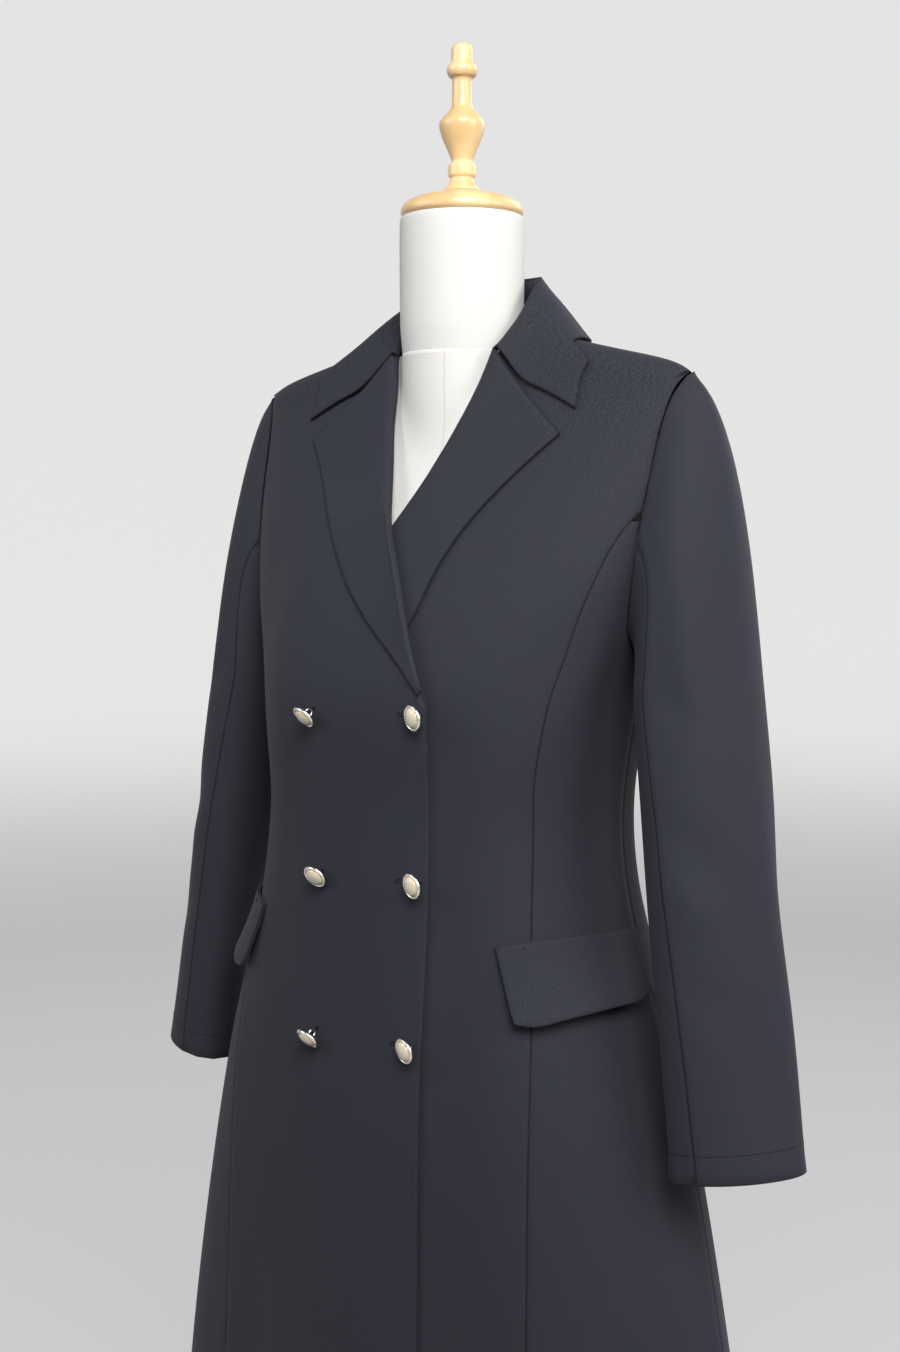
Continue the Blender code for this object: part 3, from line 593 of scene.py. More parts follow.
# %% Shell helpers
CORNER_TURN = 24
RIM_TURN = 62
EDGE_TURN = 60
LONGEST_RIM = 400
ARMHOLE_LOW = 1.125
ARMHOLE_STILL = 0.002
ARMHOLE_FADE = 0.016
SEAM_STEP = 0.0015


def sharp_edges(work, degrees):
    limit = math.radians(degrees)
    return [e for e in work.edges if len(e.link_faces) == 2 and e.calc_face_angle() > limit]


def rim_edges(work):
    """The edges between a wall's faces and its narrow rim: straight runs from three-edge corners."""
    rim = set()
    for corner in work.verts:
        if len(corner.link_edges) != 3:
            continue
        for edge in corner.link_edges:
            vertex, current = corner, edge
            for _ in range(LONGEST_RIM):
                rim.add(current)
                vertex = current.other_vert(vertex)
                if len(vertex.link_edges) != 4:
                    break
                faces = set(current.link_faces)
                onward = [e for e in vertex.link_edges if not faces & set(e.link_faces)]
                if not onward:
                    break
                current = onward[0]
    return rim | set(sharp_edges(work, RIM_TURN))


def sharp_turns(rim, degrees):
    """The points where the rim turns a corner, such as a lapel's tip or its notch."""
    at = {}
    for edge in rim:
        for vertex in edge.verts:
            at.setdefault(vertex, []).append(edge)
    turns = []
    for vertex, edges in at.items():
        ways = [(edge.other_vert(vertex).co - vertex.co).normalized() for edge in edges]
        straightest = max((a.angle(b) for a in ways for b in ways if a != b), default=0)
        if straightest < math.radians(180 - degrees):
            turns.append(vertex)
    return turns


def keep_on_line(rim, corners):
    """Rounding draws a curved rim inwards, so its points are first moved out by as much."""
    beside = {}
    for edge in rim:
        for vertex in edge.verts:
            beside.setdefault(vertex, []).append(edge.other_vert(vertex).co.copy())
    shifts = {
        vertex: (2 * vertex.co - near[0] - near[1]) / 6
        for vertex, near in beside.items() if len(near) == 2 and vertex not in corners
    }
    for vertex, shift in shifts.items():
        vertex.co = vertex.co + shift


def as_quads(piece):
    """Merge a node's triangles back into the grid that they were cut from."""
    make_active(piece)
    bpy.ops.object.mode_set(mode="EDIT")
    bpy.ops.mesh.select_all(action="SELECT")
    bpy.ops.mesh.remove_doubles(threshold=0.00002)
    bpy.ops.mesh.tris_convert_to_quads(face_threshold=0.9, shape_threshold=3.1, topology_influence=1.6)
    bpy.ops.object.mode_set(mode="OBJECT")


def shell_from(node, title, levels, corner=1.0):
    """A smooth copy of a cloth node, with its rim and the rim's corners creased."""
    piece = add_object(title, nodes[node].data.copy())
    as_quads(piece)
    work = bmesh.new()
    work.from_mesh(piece.data)
    crease_layer = work.edges.layers.float.new("crease_edge")
    corner_layer = work.verts.layers.float.new("crease_vert")
    rim = rim_edges(work)
    for edge in rim:
        edge[crease_layer] = 1.0
    corners = set(sharp_turns(rim, CORNER_TURN))
    for vertex in corners:
        vertex[corner_layer] = corner
    keep_on_line(rim, corners)
    for edge in work.edges:
        edge.smooth = True
    work.to_mesh(piece.data)
    work.free()
    rounding = piece.modifiers.new("rounding", "SUBSURF")
    rounding.levels = levels
    rounding.render_levels = levels
    apply_modifiers(piece)
    return piece


def smooth_by_angle(piece, degrees):
    make_active(piece)
    bpy.ops.object.shade_smooth_by_angle(angle=math.radians(degrees))


def tree_of_points(places):
    tree = KDTree(max(1, len(places)))
    for k, place in enumerate(places):
        tree.insert(place, k)
    tree.balance()
    return tree


def corners_of(node):
    return [vertex.co for vertex in nodes[node].data.vertices]


def points_of(names):
    """A tree of the corners of some nodes."""
    return tree_of_points([corner for name in names for corner in corners_of(name)])


SLEEVE_POINTS = points_of([name for name in nodes if name.endswith("sleeve")])
PANEL_POINTS = points_of([name for name in nodes if name.endswith(("front", "back"))])


def bend_shell(piece, folds, outward, mirrored=False, share=1.0, beside=SLEEVE_POINTS):
    """Move a shell's points by the folds. Near the armhole they fade, so that its seam stays shut."""
    for vertex in piece.data.vertices:
        read = Vector((-vertex.co.x, vertex.co.y, vertex.co.z)) if mirrored else vertex.co
        near = beside.find(vertex.co)[2]
        fade_in = 1.0
        if read.z > ARMHOLE_LOW:
            fade_in = min(1.0, max(0.0, (near - ARMHOLE_STILL) / ARMHOLE_FADE))
        vertex.co = vertex.co + outward(vertex.co) * fold_height(read, folds) * share * fade_in


def cut_edges(piece):
    """Points along a shell's cut edges, before they are rounded."""
    work = bmesh.new()
    work.from_mesh(piece.data)
    points = []
    for edge in sharp_edges(work, EDGE_TURN):
        first, second = (vertex.co.copy() for vertex in edge.verts)
        count = max(1, int((second - first).length / SEAM_STEP))
        points += [first.lerp(second, k / count) for k in range(count)]
    work.free()
    return tree_of_points(points)


def round_edges(piece, width, segments):
    bevel = piece.modifiers.new("cut edge", "BEVEL")
    bevel.limit_method = "ANGLE"
    bevel.angle_limit = math.radians(EDGE_TURN)
    bevel.width = width
    bevel.segments = segments
    bevel.harden_normals = False
    apply_modifiers(piece)


def paint(piece, name, values):
    layer = piece.data.attributes.new(name, "FLOAT", "POINT")
    layer.data.foreach_set("value", values)


def lay_out(piece, middle_of, radius):
    """A UV map in metres: round the piece, and up it, so that threads follow the cloth."""
    layer = piece.data.uv_layers.new(name="cloth")
    for face in piece.data.polygons:
        angles = []
        for index in face.vertices:
            point = piece.data.vertices[index].co
            middle = middle_of(point)
            angles.append(math.atan2(point.x - middle.x, middle.y - point.y))
        for loop, index, angle in zip(face.loop_indices, face.vertices, angles):
            if angle - angles[0] > math.pi:
                angle -= 2 * math.pi
            if angles[0] - angle > math.pi:
                angle += 2 * math.pi
            layer.data[loop].uv = (angle * radius, piece.data.vertices[index].co.z)


def crossing(solid, axis, level):
    """Where a plane cuts a wall: the length of cloth along the cut, and the points on it."""
    outline, points = 0.0, []
    for face in solid.polygons:
        corners = [solid.vertices[index].co for index in face.vertices]
        cuts = []
        for a, b in zip(corners, corners[1:] + corners[:1]):
            if (a[axis] - level) * (b[axis] - level) < 0:
                cuts.append(a.lerp(b, (level - a[axis]) / (b[axis] - a[axis])))
        if len(cuts) == 2:
            outline += (cuts[0] - cuts[1]).length
            points += cuts
    return outline / 2, points


def measure_cut(node, levels=60):
    """A wall's cut, read from its solid: widest width, length up its slope, and one face's area."""
    solid = nodes[node].data
    heights = [corner.z for corner in corners_of(node)]
    low, high = min(heights), max(heights)
    widths, slope = [], []
    for k in range(levels):
        level = low + (high - low) * (k + 0.5) / levels
        width, points = crossing(solid, 2, level)
        if points:
            widths.append(width)
            out = sum(math.hypot(p.x, p.y - BODY_MIDDLE_Y) for p in points) / len(points)
            slope.append(Vector((out, level)))
    length = sum((b - a).length for a, b in zip(slope, slope[1:])) * levels / (levels - 1)
    return max(widths), length, one_face(node)


def one_face(node):
    return sum(face.area for face in nodes[node].data.polygons) / 2


def flap_cut(node):
    """A flap is short and stands away from the skirt, so its length is read straight down its middle."""
    depths = [corner.y for corner in corners_of(node)]
    length, _ = crossing(nodes[node].data, 1, sum(depths) / len(depths))
    return measure_cut(node)[0], length, one_face(node)


NECK_MIDDLE_Y = 0.004
TIP_MARGIN = 0.01
TURN_STEP = 0.26
BESIDE_MIDDLE = 0.0005


def collar_cut(node):
    """The collar's depth at the middle of the back, by its outer edge from tip to tip."""
    corners = corners_of(node)
    tip = min(corners, key=lambda corner: corner.z)
    widest_turn = abs(math.atan2(tip.x, tip.y - NECK_MIDDLE_Y)) + TIP_MARGIN
    furthest = {}
    for corner in corners:
        out = Vector((corner.x, corner.y - NECK_MIDDLE_Y))
        angle = math.atan2(out.x, out.y)
        if abs(angle) > widest_turn:
            continue
        turn = round(angle / TURN_STEP)
        if turn not in furthest or out.length > furthest[turn][0]:
            furthest[turn] = (out.length, corner)
    edge = [furthest[turn][1] for turn in sorted(furthest)]
    length = sum((b - a).length for a, b in zip(edge, edge[1:]))
    return crossing(nodes[node].data, 0, BESIDE_MIDDLE)[0], length, one_face(node)


def declare_sheet(piece, node):
    """State the cut as measured on the solid."""
    measure = collar_cut if node == "collar" else flap_cut if "flap" in node else measure_cut
    width, length, area = measure(node)
    print(node, triangles(piece), "cut", round(width, 3), round(length, 3), round(area, 4))


# %% [markdown]
# The panels come first. `pressed` is drawn only on the right front, where the photograph shows a
# line a few millimetres in from the overlapping edge.

# %% Cloth shells
PRESSED_INSET = 0.0042
PRESSED_TOP = 1.105
FAR = 1.0

BODY_PANELS = ("front", "side_front", "side_back", "back")
SLEEVE_PANELS = ("upper_sleeve", "under_sleeve")
shells = {}


def finish_shell(piece, node, edge_width, segments, middle_of, radius, pressed=None):
    tree = cut_edges(piece)
    round_edges(piece, edge_width, segments)
    seam = [tree.find(vertex.co)[2] for vertex in piece.data.vertices]
    paint(piece, "seam", seam)
    paint(piece, "pressed", pressed(piece) if pressed else [FAR] * len(seam))
    lay_out(piece, middle_of, radius)
    smooth_by_angle(piece, 50)
    stand_for(piece, node, CLOTH)
    declare_sheet(piece, node)
    shells[node] = piece


def front_line(piece):
    """The distance from each point to the line pressed just inside the overlapping edge."""
    edge_heights = sorted(
        (p.z, p.x) for p in corners_of("right_front") if p.y < -0.05 and p.x > 0.03
    )
    edge = {}
    for height, x in edge_heights:
        key = round(height, 2)
        edge[key] = max(edge.get(key, -1.0), x)
    heights = sorted(edge)
    values = []
    for vertex in piece.data.vertices:
        line = float(np.interp(vertex.co.z, heights, [edge[h] for h in heights])) - PRESSED_INSET
        values.append(abs(vertex.co.x - line) if vertex.co.z < PRESSED_TOP else FAR)
    return values


for side in ("right", "left"):
    for panel in BODY_PANELS:
        node = f"{side}_{panel}"
        shell = shell_from(node, f"{node}_cloth", 2)
        bend_shell(shell, BODY_FOLDS, body_out)
        line = front_line if node == "right_front" else None
        finish_shell(shell, node, 0.0005, 2, body_middle, 0.17, line)
    for panel in SLEEVE_PANELS:
        node = f"{side}_{panel}"
        shell = shell_from(node, f"{node}_cloth", 2)
        share = 1.0 if side == "left" else RIGHT_SLEEVE_SHARE
        bend_shell(shell, SLEEVE_FOLDS, sleeve_out, side == "right", share, PANEL_POINTS)
        finish_shell(shell, node, 0.0005, 2, sleeve_middle, 0.05)

# %% [markdown]
# Collar, lapels and flaps are thicker, because each is two layers turned out along the edge. They
# are smoothed the same way with a wider, rounder bevel, so their edges read as rolled.

# %% Collar, lapels and pocket flaps
TIP_CREASE = 0.62
for node in ("left_lapel", "right_lapel", "collar", "left_pocket_flap", "right_pocket_flap"):
    shell = shell_from(node, f"{node}_cloth", 3 if "flap" in node else 2, TIP_CREASE)
    bend_shell(shell, BODY_FOLDS, body_out)
    finish_shell(shell, node, 0.0008, 3, body_middle, 0.12)

# %% [markdown]
# The padded form is cotton over wadding, smooth and whole. The torso is rounded in the same way as
# the cloth, with its flat top held crisp so that the neck's cover meets it. The neck is turned, with
# a faint line where its cover was sewn to the torso's. One seam runs down the front beside the
# middle. Both lines are sunk a little and darkened with painted shade.

# %% Dress form
FORM_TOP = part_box("form_torso")[1].z
NECK_LOW, NECK_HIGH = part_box("form_neck")
NECK_TOP = NECK_HIGH.z
NECK_RADIUS = (NECK_HIGH.x - NECK_LOW.x) / 2
NECK_LAP = 0.004
FORM_SEAM_PLACE = 0.015


def cover(piece, node, lines):
    lay_out(piece, body_middle, 0.10)
    paint(piece, "pressed", lines)
    smooth_by_angle(piece, 60)
    stand_for(piece, node, COTTON)


torso = add_object("torso_cover", nodes["form_torso"].data.copy())
as_quads(torso)
work = bmesh.new()
work.from_mesh(torso.data)
top_crease = work.edges.layers.float.new("crease_edge")
for edge in work.edges:
    if all(vertex.co.z > FORM_TOP - 0.0002 for vertex in edge.verts) and edge.calc_face_angle(0) > 0.3:
        edge[top_crease] = 1.0
work.to_mesh(torso.data)
work.free()
soften = torso.modifiers.new("padding", "SUBSURF")
soften.levels = 3
soften.render_levels = 3
apply_modifiers(torso)
seam_lines = [abs(v.co.x - FORM_SEAM_PLACE) if v.co.y < 0 else FAR for v in torso.data.vertices]
cover(torso, "form_torso", seam_lines)

neck_profile = rounded((
    (NECK_RADIUS - 0.0024, FORM_TOP - NECK_LAP), (NECK_RADIUS - 0.0020, FORM_TOP + 0.001),
    (NECK_RADIUS - 0.0012, FORM_TOP + 0.010), (NECK_RADIUS - 0.0005, FORM_TOP + 0.020),
    (NECK_RADIUS - 0.0002, FORM_TOP + 0.036), (NECK_RADIUS, NECK_TOP - 0.030),
    (NECK_RADIUS - 0.0003, NECK_TOP - 0.004), (NECK_RADIUS - 0.0018, NECK_TOP),
))
neck = turned("neck_cover", [(0.0, FORM_TOP - NECK_LAP)] + neck_profile + [(0.0, NECK_TOP)], 96, 40)
cover(neck, "form_neck", [abs(v.co.z - FORM_TOP + NECK_LAP) + 0.0009 for v in neck.data.vertices])
print("form", triangles(torso), triangles(neck))

# %% [markdown]
# The cap and the finial are one kind of turned wood. The finial's beads are read as a smooth curve
# through a few measured radii, with the sharp steps between them kept by doubled points.

# %% Wooden cap and finial
CAP_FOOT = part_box("neck_cap")[0].z
CAP_PROFILE = (
    (0.0000, 0.0000), (0.0430, 0.0000), (0.0462, 0.0006), (0.0476, 0.0024), (0.0474, 0.0060),
    (0.0450, 0.0098), (0.0395, 0.0130), (0.0300, 0.0158), (0.0205, 0.0178), (0.0140, 0.0190),
    (0.0000, 0.0190),
)
FINIAL_PROFILE = (
    (0.0000, 0.0193), (0.0138, 0.0193), (0.0142, 0.0205), (0.0128, 0.0228), (0.0100, 0.0262),
    (0.0094, 0.0296), (0.0106, 0.0312), (0.0108, 0.0355), (0.0106, 0.0396), (0.0086, 0.0412),
    (0.0084, 0.0434), (0.0112, 0.0505), (0.0152, 0.0592), (0.0175, 0.0668), (0.0176, 0.0712),
    (0.0162, 0.0740), (0.0126, 0.0778), (0.0092, 0.0818), (0.0080, 0.0865), (0.0077, 0.0960),
    (0.0079, 0.1040), (0.0102, 0.1060), (0.0117, 0.1090), (0.0118, 0.1122), (0.0104, 0.1152),
    (0.0086, 0.1170), (0.0085, 0.1220), (0.0083, 0.1262), (0.0074, 0.1292), (0.0052, 0.1306),
    (0.0000, 0.1308),
)
for title, node, profile, steps in (
    ("wooden_cap", "neck_cap", CAP_PROFILE, 96), ("wooden_finial", "finial", FINIAL_PROFILE, 72),
):
    smooth = rounded(profile[1:-1], 3)
    lathe = [(0.0, profile[0][1])] + smooth + [(0.0, profile[-1][1])]
    piece = turned(title, [(r, z + CAP_FOOT) for r, z in lathe], steps, 38)
    stand_for(piece, node, WOOD)
    print(title, triangles(piece))

# %% [markdown]
# The stand is below the photograph's edge, so it stays plain: a tube in a round base whose rim is
# rolled over and whose middle rises to a collar.

# %% Stand
BASE_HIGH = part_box("base")[1]
POLE_LOW, POLE_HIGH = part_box("pole")
BASE_RADIUS = BASE_HIGH.x
POLE_RADIUS = POLE_HIGH.x
COLLAR_TOP = BASE_HIGH.z
base_profile = rounded((
    (BASE_RADIUS - 0.0015, 0.0000), (BASE_RADIUS, 0.0018), (BASE_RADIUS, 0.0095),
    (BASE_RADIUS - 0.0022, 0.0126), (BASE_RADIUS - 0.007, 0.0140), (0.110, 0.0160),
    (0.052, 0.0180), (0.034, 0.0206), (0.0275, 0.0260), (0.0248, 0.0350),
    (0.0240, COLLAR_TOP - 0.0018), (0.0224, COLLAR_TOP),
), 4)
base = turned("stand_base", [(0.0, 0.0)] + base_profile + [(0.0, COLLAR_TOP)], 128, 30)
pole_profile = [
    (0.0, POLE_LOW.z), (POLE_RADIUS, POLE_LOW.z), (POLE_RADIUS, POLE_HIGH.z), (0.0, POLE_HIGH.z),
]
pole = turned("stand_pole", pole_profile, 64, 30)
for piece, node in ((base, "base"), (pole, "pole")):
    stand_for(piece, node, STAND_METAL)

# %% [markdown]
# A button is a milled metal cup with a domed enamel centre, which hangs from a wire loop sewn to
# the front. One is turned and then copied to the six places. Where each one sits, and which way it
# faces, is read from its two solids: the dome is thinnest along its own axis.

# %% Buttons
HEAD_DEPTH = 0.0044
RIBS = 54
TOOTH = 0.060
TOOTH_FROM = 0.0088
LOOP_RADIUS = 0.0027
LOOP_WIRE = 0.00060
LOOP_DROP = 0.0021
LOOP_REACH = 0.0056
CUP_PROFILE = (
    (0.0000, 0.0002), (0.0040, 0.0003), (0.0070, 0.0007), (0.0090, 0.0014), (0.0097, 0.0021),
    (0.0100, 0.0029), (0.0099, 0.0036), (0.0094, 0.0043), (0.0086, 0.0045), (0.0080, 0.0042),
    (0.0077, 0.0036), (0.0076, 0.0031), (0.0000, 0.0031),
)
DOME_PROFILE = (
    (0.0000, 0.0033), (0.0073, 0.0033), (0.00745, 0.0040), (0.0072, 0.0048), (0.0063, 0.0056),
    (0.0048, 0.0063), (0.0030, 0.0068), (0.0014, 0.00698), (0.0000, 0.0070),
)
cup_model = turned("cup", rounded(CUP_PROFILE, 2), 2 * RIBS, 50)
for vertex in cup_model.data.vertices:
    radius = math.hypot(vertex.co.x, vertex.co.y)
    if radius > TOOTH_FROM:
        turn = math.atan2(vertex.co.y, vertex.co.x)
        tooth = 0.5 - 0.5 * math.cos(RIBS * turn)
        share = 1 - TOOTH * tooth
        vertex.co.x *= share
        vertex.co.y *= share
dome_model = turned("dome", rounded(DOME_PROFILE, 2), 40, 60)
paint(dome_model, "from_centre", [math.hypot(v.co.x, v.co.y) for v in dome_model.data.vertices])

clear_selection()
bpy.ops.mesh.primitive_torus_add(
    major_radius=LOOP_RADIUS, minor_radius=LOOP_WIRE, major_segments=28, minor_segments=12,
    rotation=(0, math.pi / 2, 0), location=(0, 0, -LOOP_DROP),
)
loop_model = settle(bpy.context.active_object, "loop", 60)


def copy_to(model, title, matrix, material):
    """A copy with its own mesh, whose place is in the mesh."""
    mesh = model.data.copy()
    mesh.transform(matrix)
    piece = add_object(title, mesh)
    dress(piece, material)
    return piece


def button_place(name):
    """The point at the back of the head, and the direction in which the head faces."""
    dome = np.array(corners_of(f"{name}_dome"))
    rim = np.array(corners_of(f"{name}_rim"))
    centre = dome.mean(axis=0)
    _, _, axes = np.linalg.svd(dome - centre)
    axis = axes[2]
    if np.dot(axis, centre - rim.mean(axis=0)) < 0:
        axis = -axis
    along = rim @ axis
    facing = Vector(axis).normalized()
    centre = Vector(centre)
    back = centre + facing * (along.max() - HEAD_DEPTH - centre.dot(facing))
    foot = centre + facing * (along.min() - centre.dot(facing))
    return back, foot, facing


places = {}
for column in ("left", "right"):
    for row in ("top", "middle", "bottom"):
        name = f"button_{column}_{row}"
        back, foot, facing = button_place(name)
        places[name] = (back, foot, facing)
        turn = facing.to_track_quat("Z", "Y").to_matrix().to_4x4()
        matrix = Matrix.Translation(back) @ turn
        cup = copy_to(cup_model, f"{name}_cup", matrix, CHROME)
        reach = (back - foot).length
        room = Matrix.Scale(min(1.0, reach / LOOP_REACH), 4)
        loop = copy_to(loop_model, f"{name}_loop", matrix @ room, CHROME)
        cup = join([cup, loop], f"{name}_cup")
        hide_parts(f"{name}_rim")
        dome = copy_to(dome_model, f"{name}_enamel", matrix, ENAMEL)
        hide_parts(f"{name}_dome")
        for piece in (cup, dome):
            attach(piece, "root")
for model in (cup_model, dome_model, loop_model):
    bpy.data.objects.remove(model, do_unlink=True)
print("buttons", len(places))

# %% [markdown]
# The sewing is small but it is what makes the coat look made: a buttonhole beside each button of
# the near column, the thread that holds each loop, a row of stitches above each cuff's edge and a
# bar tack at each flap. Each is laid on the finished shells by casting a ray to the cloth.

# %% Sewing helpers
THREAD_RADIUS = 0.00026
STITCH_LENGTH = 0.0026
STITCH_PITCH = 0.0037


def tree_of(piece):
    corners = [vertex.co for vertex in piece.data.vertices]
    return BVHTree.FromPolygons(corners, [face.vertices[:] for face in piece.data.polygons])


def stitch(start, end, normal, radius=THREAD_RADIUS):
    """One short thread: a small rounded bar between two points, sunk a third into the cloth."""
    run = end - start
    clear_selection()
    bpy.ops.mesh.primitive_cylinder_add(vertices=6, radius=radius, depth=run.length)
    bar = bpy.context.active_object
    bpy.ops.object.mode_set(mode="EDIT")
    bpy.ops.mesh.select_all(action="SELECT")
    bpy.ops.mesh.bevel(offset=radius * 0.6, segments=1)
    bpy.ops.object.mode_set(mode="OBJECT")
    turn = run.to_track_quat("Z", "Y").to_matrix().to_4x4()
    bar.data.transform(Matrix.Translation((start + end) / 2 + normal * radius * 0.35) @ turn)
    bar.location = (0, 0, 0)
    return bar


def bars_joined(bars, title):
    piece = join(bars, title)
    dress(piece, THREAD)
    smooth_by_angle(piece, 60)
    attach(piece, "root")
    return piece


# %% [markdown]
# The cuff's stitches lie on a plane parallel to its edge. The plane is fitted to the lowest ring of
# the two sleeve solids, moved up the sleeve, and rays are cast inwards to the cloth all round.

# %% Cuff stitches
CUFF_HEM = 0.0205
CUFF_RING_TOP = 0.797
CUFF_RAYS = 720
RAY_START = 0.12
RAY_LIMIT = 0.11
for side in ("left", "right"):
    pieces = [shells[f"{side}_{panel}"] for panel in SLEEVE_PANELS]
    trees = [tree_of(piece) for piece in pieces]
    ring = np.array([
        corner for panel in SLEEVE_PANELS for corner in corners_of(f"{side}_{panel}")
        if corner.z < CUFF_RING_TOP
    ])
    middle = Vector(ring.mean(axis=0))
    _, _, axes = np.linalg.svd(ring - ring.mean(axis=0))
    up = Vector(axes[2])
    if up.z < 0:
        up = -up
    centre = middle + up * CUFF_HEM
    first = up.cross(Vector((0, 1, 0))).normalized()
    second = up.cross(first).normalized()
    path = []
    for k in range(CUFF_RAYS):
        turn = 2 * math.pi * k / CUFF_RAYS
        outward = first * math.cos(turn) + second * math.sin(turn)
        best = None
        for tree in trees:
            hit, normal, _, distance = tree.ray_cast(centre + outward * RAY_START, -outward)
            if hit and (best is None or distance < best[2]):
                best = (hit, normal, distance)
        if best and best[2] < RAY_LIMIT:
            path.append(best)
    bars = []
    travelled, next_start = 0.0, 0.0
    start = None
    for before, after in zip(path, path[1:]):
        travelled += (after[0] - before[0]).length
        if start is None and travelled >= next_start:
            start = before
        if start is not None and (after[0] - start[0]).length >= STITCH_LENGTH:
            bars.append(stitch(start[0], after[0], start[1]))
            next_start = travelled + STITCH_PITCH - STITCH_LENGTH
            start = None
    bars_joined(bars, f"{side}_cuff_stitches")
    print(side, "cuff stitches", len(bars))

# %% [markdown]
# A worked buttonhole is a narrow slit with thread wrapped along both lips. It starts as a torus,
# whose two halves are pulled apart into a long ring, and is then laid point by point on the front.
# Only the column beside the overlapping edge has them. The far column is sewn on for show.

# %% Buttonholes and the threads of the shanks
HOLE_LENGTH = 0.0170
HOLE_SHIFT = -0.0110
HOLE_LIP = 0.00055
HOLE_HALF_WIDTH = 0.00115
SHANK_THREAD = 0.00034
front_tree = tree_of(shells["right_front"])


def surface_frame(seat, towards):
    """The nearest point of the front along a direction, its normal and the level direction there."""
    hit, normal, _, _ = front_tree.ray_cast(seat + towards * 0.02, -towards)
    if hit is None:
        hit, normal, _, _ = front_tree.find_nearest(seat)
    level = UP.cross(normal).normalized()
    return hit, normal, level


def work_buttonhole(name, hit, normal, level):
    clear_selection()
    bpy.ops.mesh.primitive_torus_add(
        major_radius=HOLE_HALF_WIDTH, minor_radius=HOLE_LIP, major_segments=28, minor_segments=8,
    )
    hole = bpy.context.active_object
    for vertex in hole.data.vertices:
        vertex.co.x += math.copysign(HOLE_LENGTH / 2, vertex.co.x)
    for vertex in hole.data.vertices:
        x, y, z = vertex.co
        target = hit + level * (x + HOLE_SHIFT) + UP * y
        spot, out, _, _ = front_tree.ray_cast(target + normal * 0.01, -normal)
        if spot is None:
            spot, out = target, normal
        vertex.co = spot + out * (z * 0.9)
    hole.location = (0, 0, 0)
    settle(hole, f"{name}_buttonhole", 60)
    dress(hole, THREAD)
    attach(hole, "root")


for name, (back, foot, facing) in places.items():
    hit, normal, level = surface_frame(foot, Vector((0, -1, 0)))
    if "left" in name:
        work_buttonhole(name, hit, normal, level)
    threads = []
    for k in range(4):
        angle = 2 * math.pi * k / 4 + 0.4
        turn = (level * math.cos(angle) + UP * math.sin(angle)) * 0.0008
        root = hit - normal * 0.0003 + turn
        end = back - facing * 0.0026 + turn * 0.5
        threads.append(stitch(root, end, normal, SHANK_THREAD))
    bars_joined(threads, f"{name}_thread")
print("buttonholes", sum("left" in name for name in places), "sewn buttons", len(places))

# %% [markdown]
# A short bar tack holds the front upper corner of each flap. It is four slanted threads.

# %% Bar tacks
for side in ("left", "right"):
    flap = shells[f"{side}_pocket_flap"]
    tree = tree_of(flap)
    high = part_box(f"{side}_pocket_flap")[1]
    top = [corner for corner in corners_of(f"{side}_pocket_flap") if corner.z > high.z - 0.004]
    front_end = min(top, key=lambda point: abs(point.x))
    back_end = max(top, key=lambda point: abs(point.x))
    inward = (back_end - front_end).normalized()
    corner = front_end + inward * 0.0045 - UP * 0.0032
    outward = body_out(corner)
    bars = []
    for k in range(4):
        a = corner + inward * 0.0011 * k
        b = a + inward * 0.0009 + UP * (0.0013 if k % 2 else -0.0013)
        ends = []
        for point in (a, b):
            hit, normal, _, _ = tree.ray_cast(point + outward * 0.03, -outward)
            ends.append((hit, normal) if hit else (point, outward))
        if (ends[0][0] - ends[1][0]).length > 0.0005:
            bars.append(stitch(ends[0][0], ends[1][0], ends[0][1]))
    bars_joined(bars, f"{side}_flap_tack")

# %% [markdown]
# The room is only a pale bowl: a floor that curves up all round into a wall, so that every view has
# the same plain ground and no corner. It glows only where the camera or a shiny surface sees it, a
# painted light in place of a lit studio wall, and throws little light back, so that the dark cloth
# keeps its own light and shade. Its glow and its colour are darker low down, a painted shade on the
# floor.

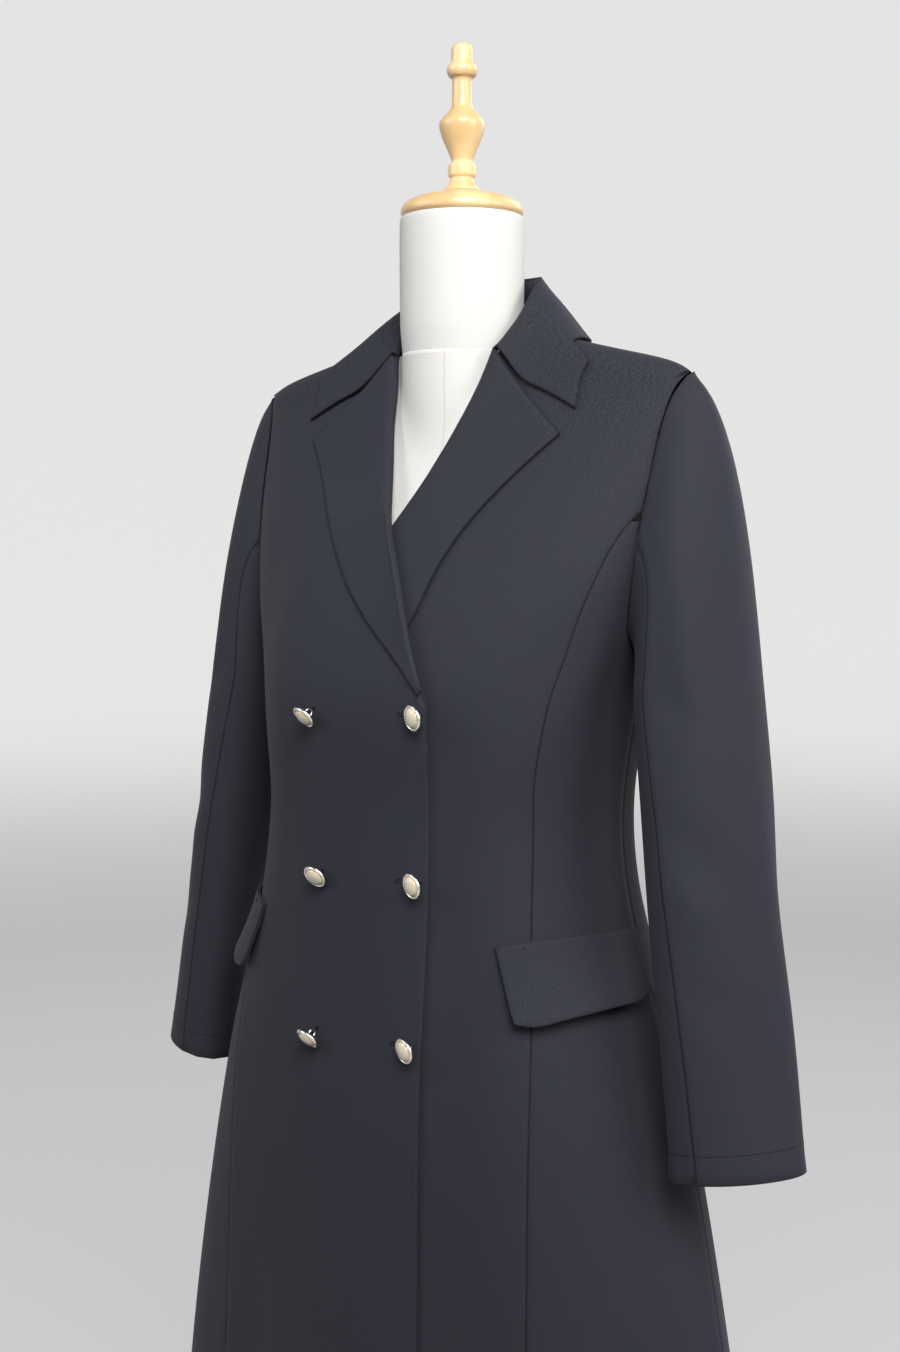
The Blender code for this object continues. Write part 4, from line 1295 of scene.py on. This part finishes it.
# %% Stage and light
BOWL_RADIUS = 6.0
bowl_profile = rounded((
    (0.0, -0.0005), (2.6, -0.0005), (4.4, -0.0005), (5.5, 0.35), (BOWL_RADIUS, 1.5), (BOWL_RADIUS, 5.5),
), 8)
bowl = turned("studio_bowl", bowl_profile, 96, 60)
bowl_material, bowl_tree, bowl_shader = new_material("pale studio ground", 0.95)
bowl_height = bowl_tree.nodes.new("ShaderNodeSeparateXYZ")
bowl_tree.links.new(object_place(bowl_tree), bowl_height.inputs[0])
# Painted shade: the ground's colour and its glow are darker low down, on the floor.
low_share = fade(bowl_tree, bowl_height.outputs["Z"], -0.35, 0.50)
ground = mix_colours(bowl_tree, low_share, (0.32, 0.32, 0.32), (0.22, 0.22, 0.22))
# Painted light: the bowl glows for the camera and for reflections, paler high up.
glow = mix_colours(bowl_tree, low_share, (0.70, 0.70, 0.70), (0.31, 0.31, 0.32))
bowl_tree.links.new(ground, bowl_shader.inputs["Base Color"])
bowl_tree.links.new(glow, bowl_shader.inputs["Emission Color"])
ray = bowl_tree.nodes.new("ShaderNodeLightPath")
seen = add_math(bowl_tree, "MAXIMUM", ray.outputs["Is Camera Ray"], ray.outputs["Is Glossy Ray"])
bowl_tree.links.new(seen, bowl_shader.inputs["Emission Strength"])
bowl_shader.inputs["Specular IOR Level"].default_value = 0.1
bowl.data.materials.append(bowl_material)

world = bpy.data.worlds.new("soft room")
world.use_nodes = True
world.node_tree.nodes["Background"].inputs[0].default_value = (0.93, 0.95, 1.0, 1.0)
world.node_tree.nodes["Background"].inputs[1].default_value = 0.16
bpy.context.scene.world = world


def soft_light(title, place, aim, size, power, tint):
    data = bpy.data.lights.new(title, "AREA")
    data.shape = "DISK"
    data.size = size
    data.energy = power
    data.color = tint
    lamp = add_object(title, data)
    lamp.location = place
    lamp.rotation_euler = (Vector(aim) - Vector(place)).to_track_quat("-Z", "Y").to_euler()


soft_light("key", (1.30, -1.35, 2.60), (0.05, 0.0, 1.38), 1.4, 68, (1.0, 0.985, 0.96))
soft_light("fill", (-1.6, -2.1, 2.4), (0.0, 0.0, 1.35), 1.8, 26, (0.95, 0.97, 1.0))
soft_light("side", (2.3, 0.2, 1.95), (0.0, 0.0, 1.25), 1.6, 26, (1.0, 0.99, 0.97))
soft_light("back", (0.6, 2.4, 2.6), (0.0, 0.0, 1.2), 2.0, 20, (1.0, 1.0, 1.0))
bpy.context.scene.view_settings.view_transform = "Standard"
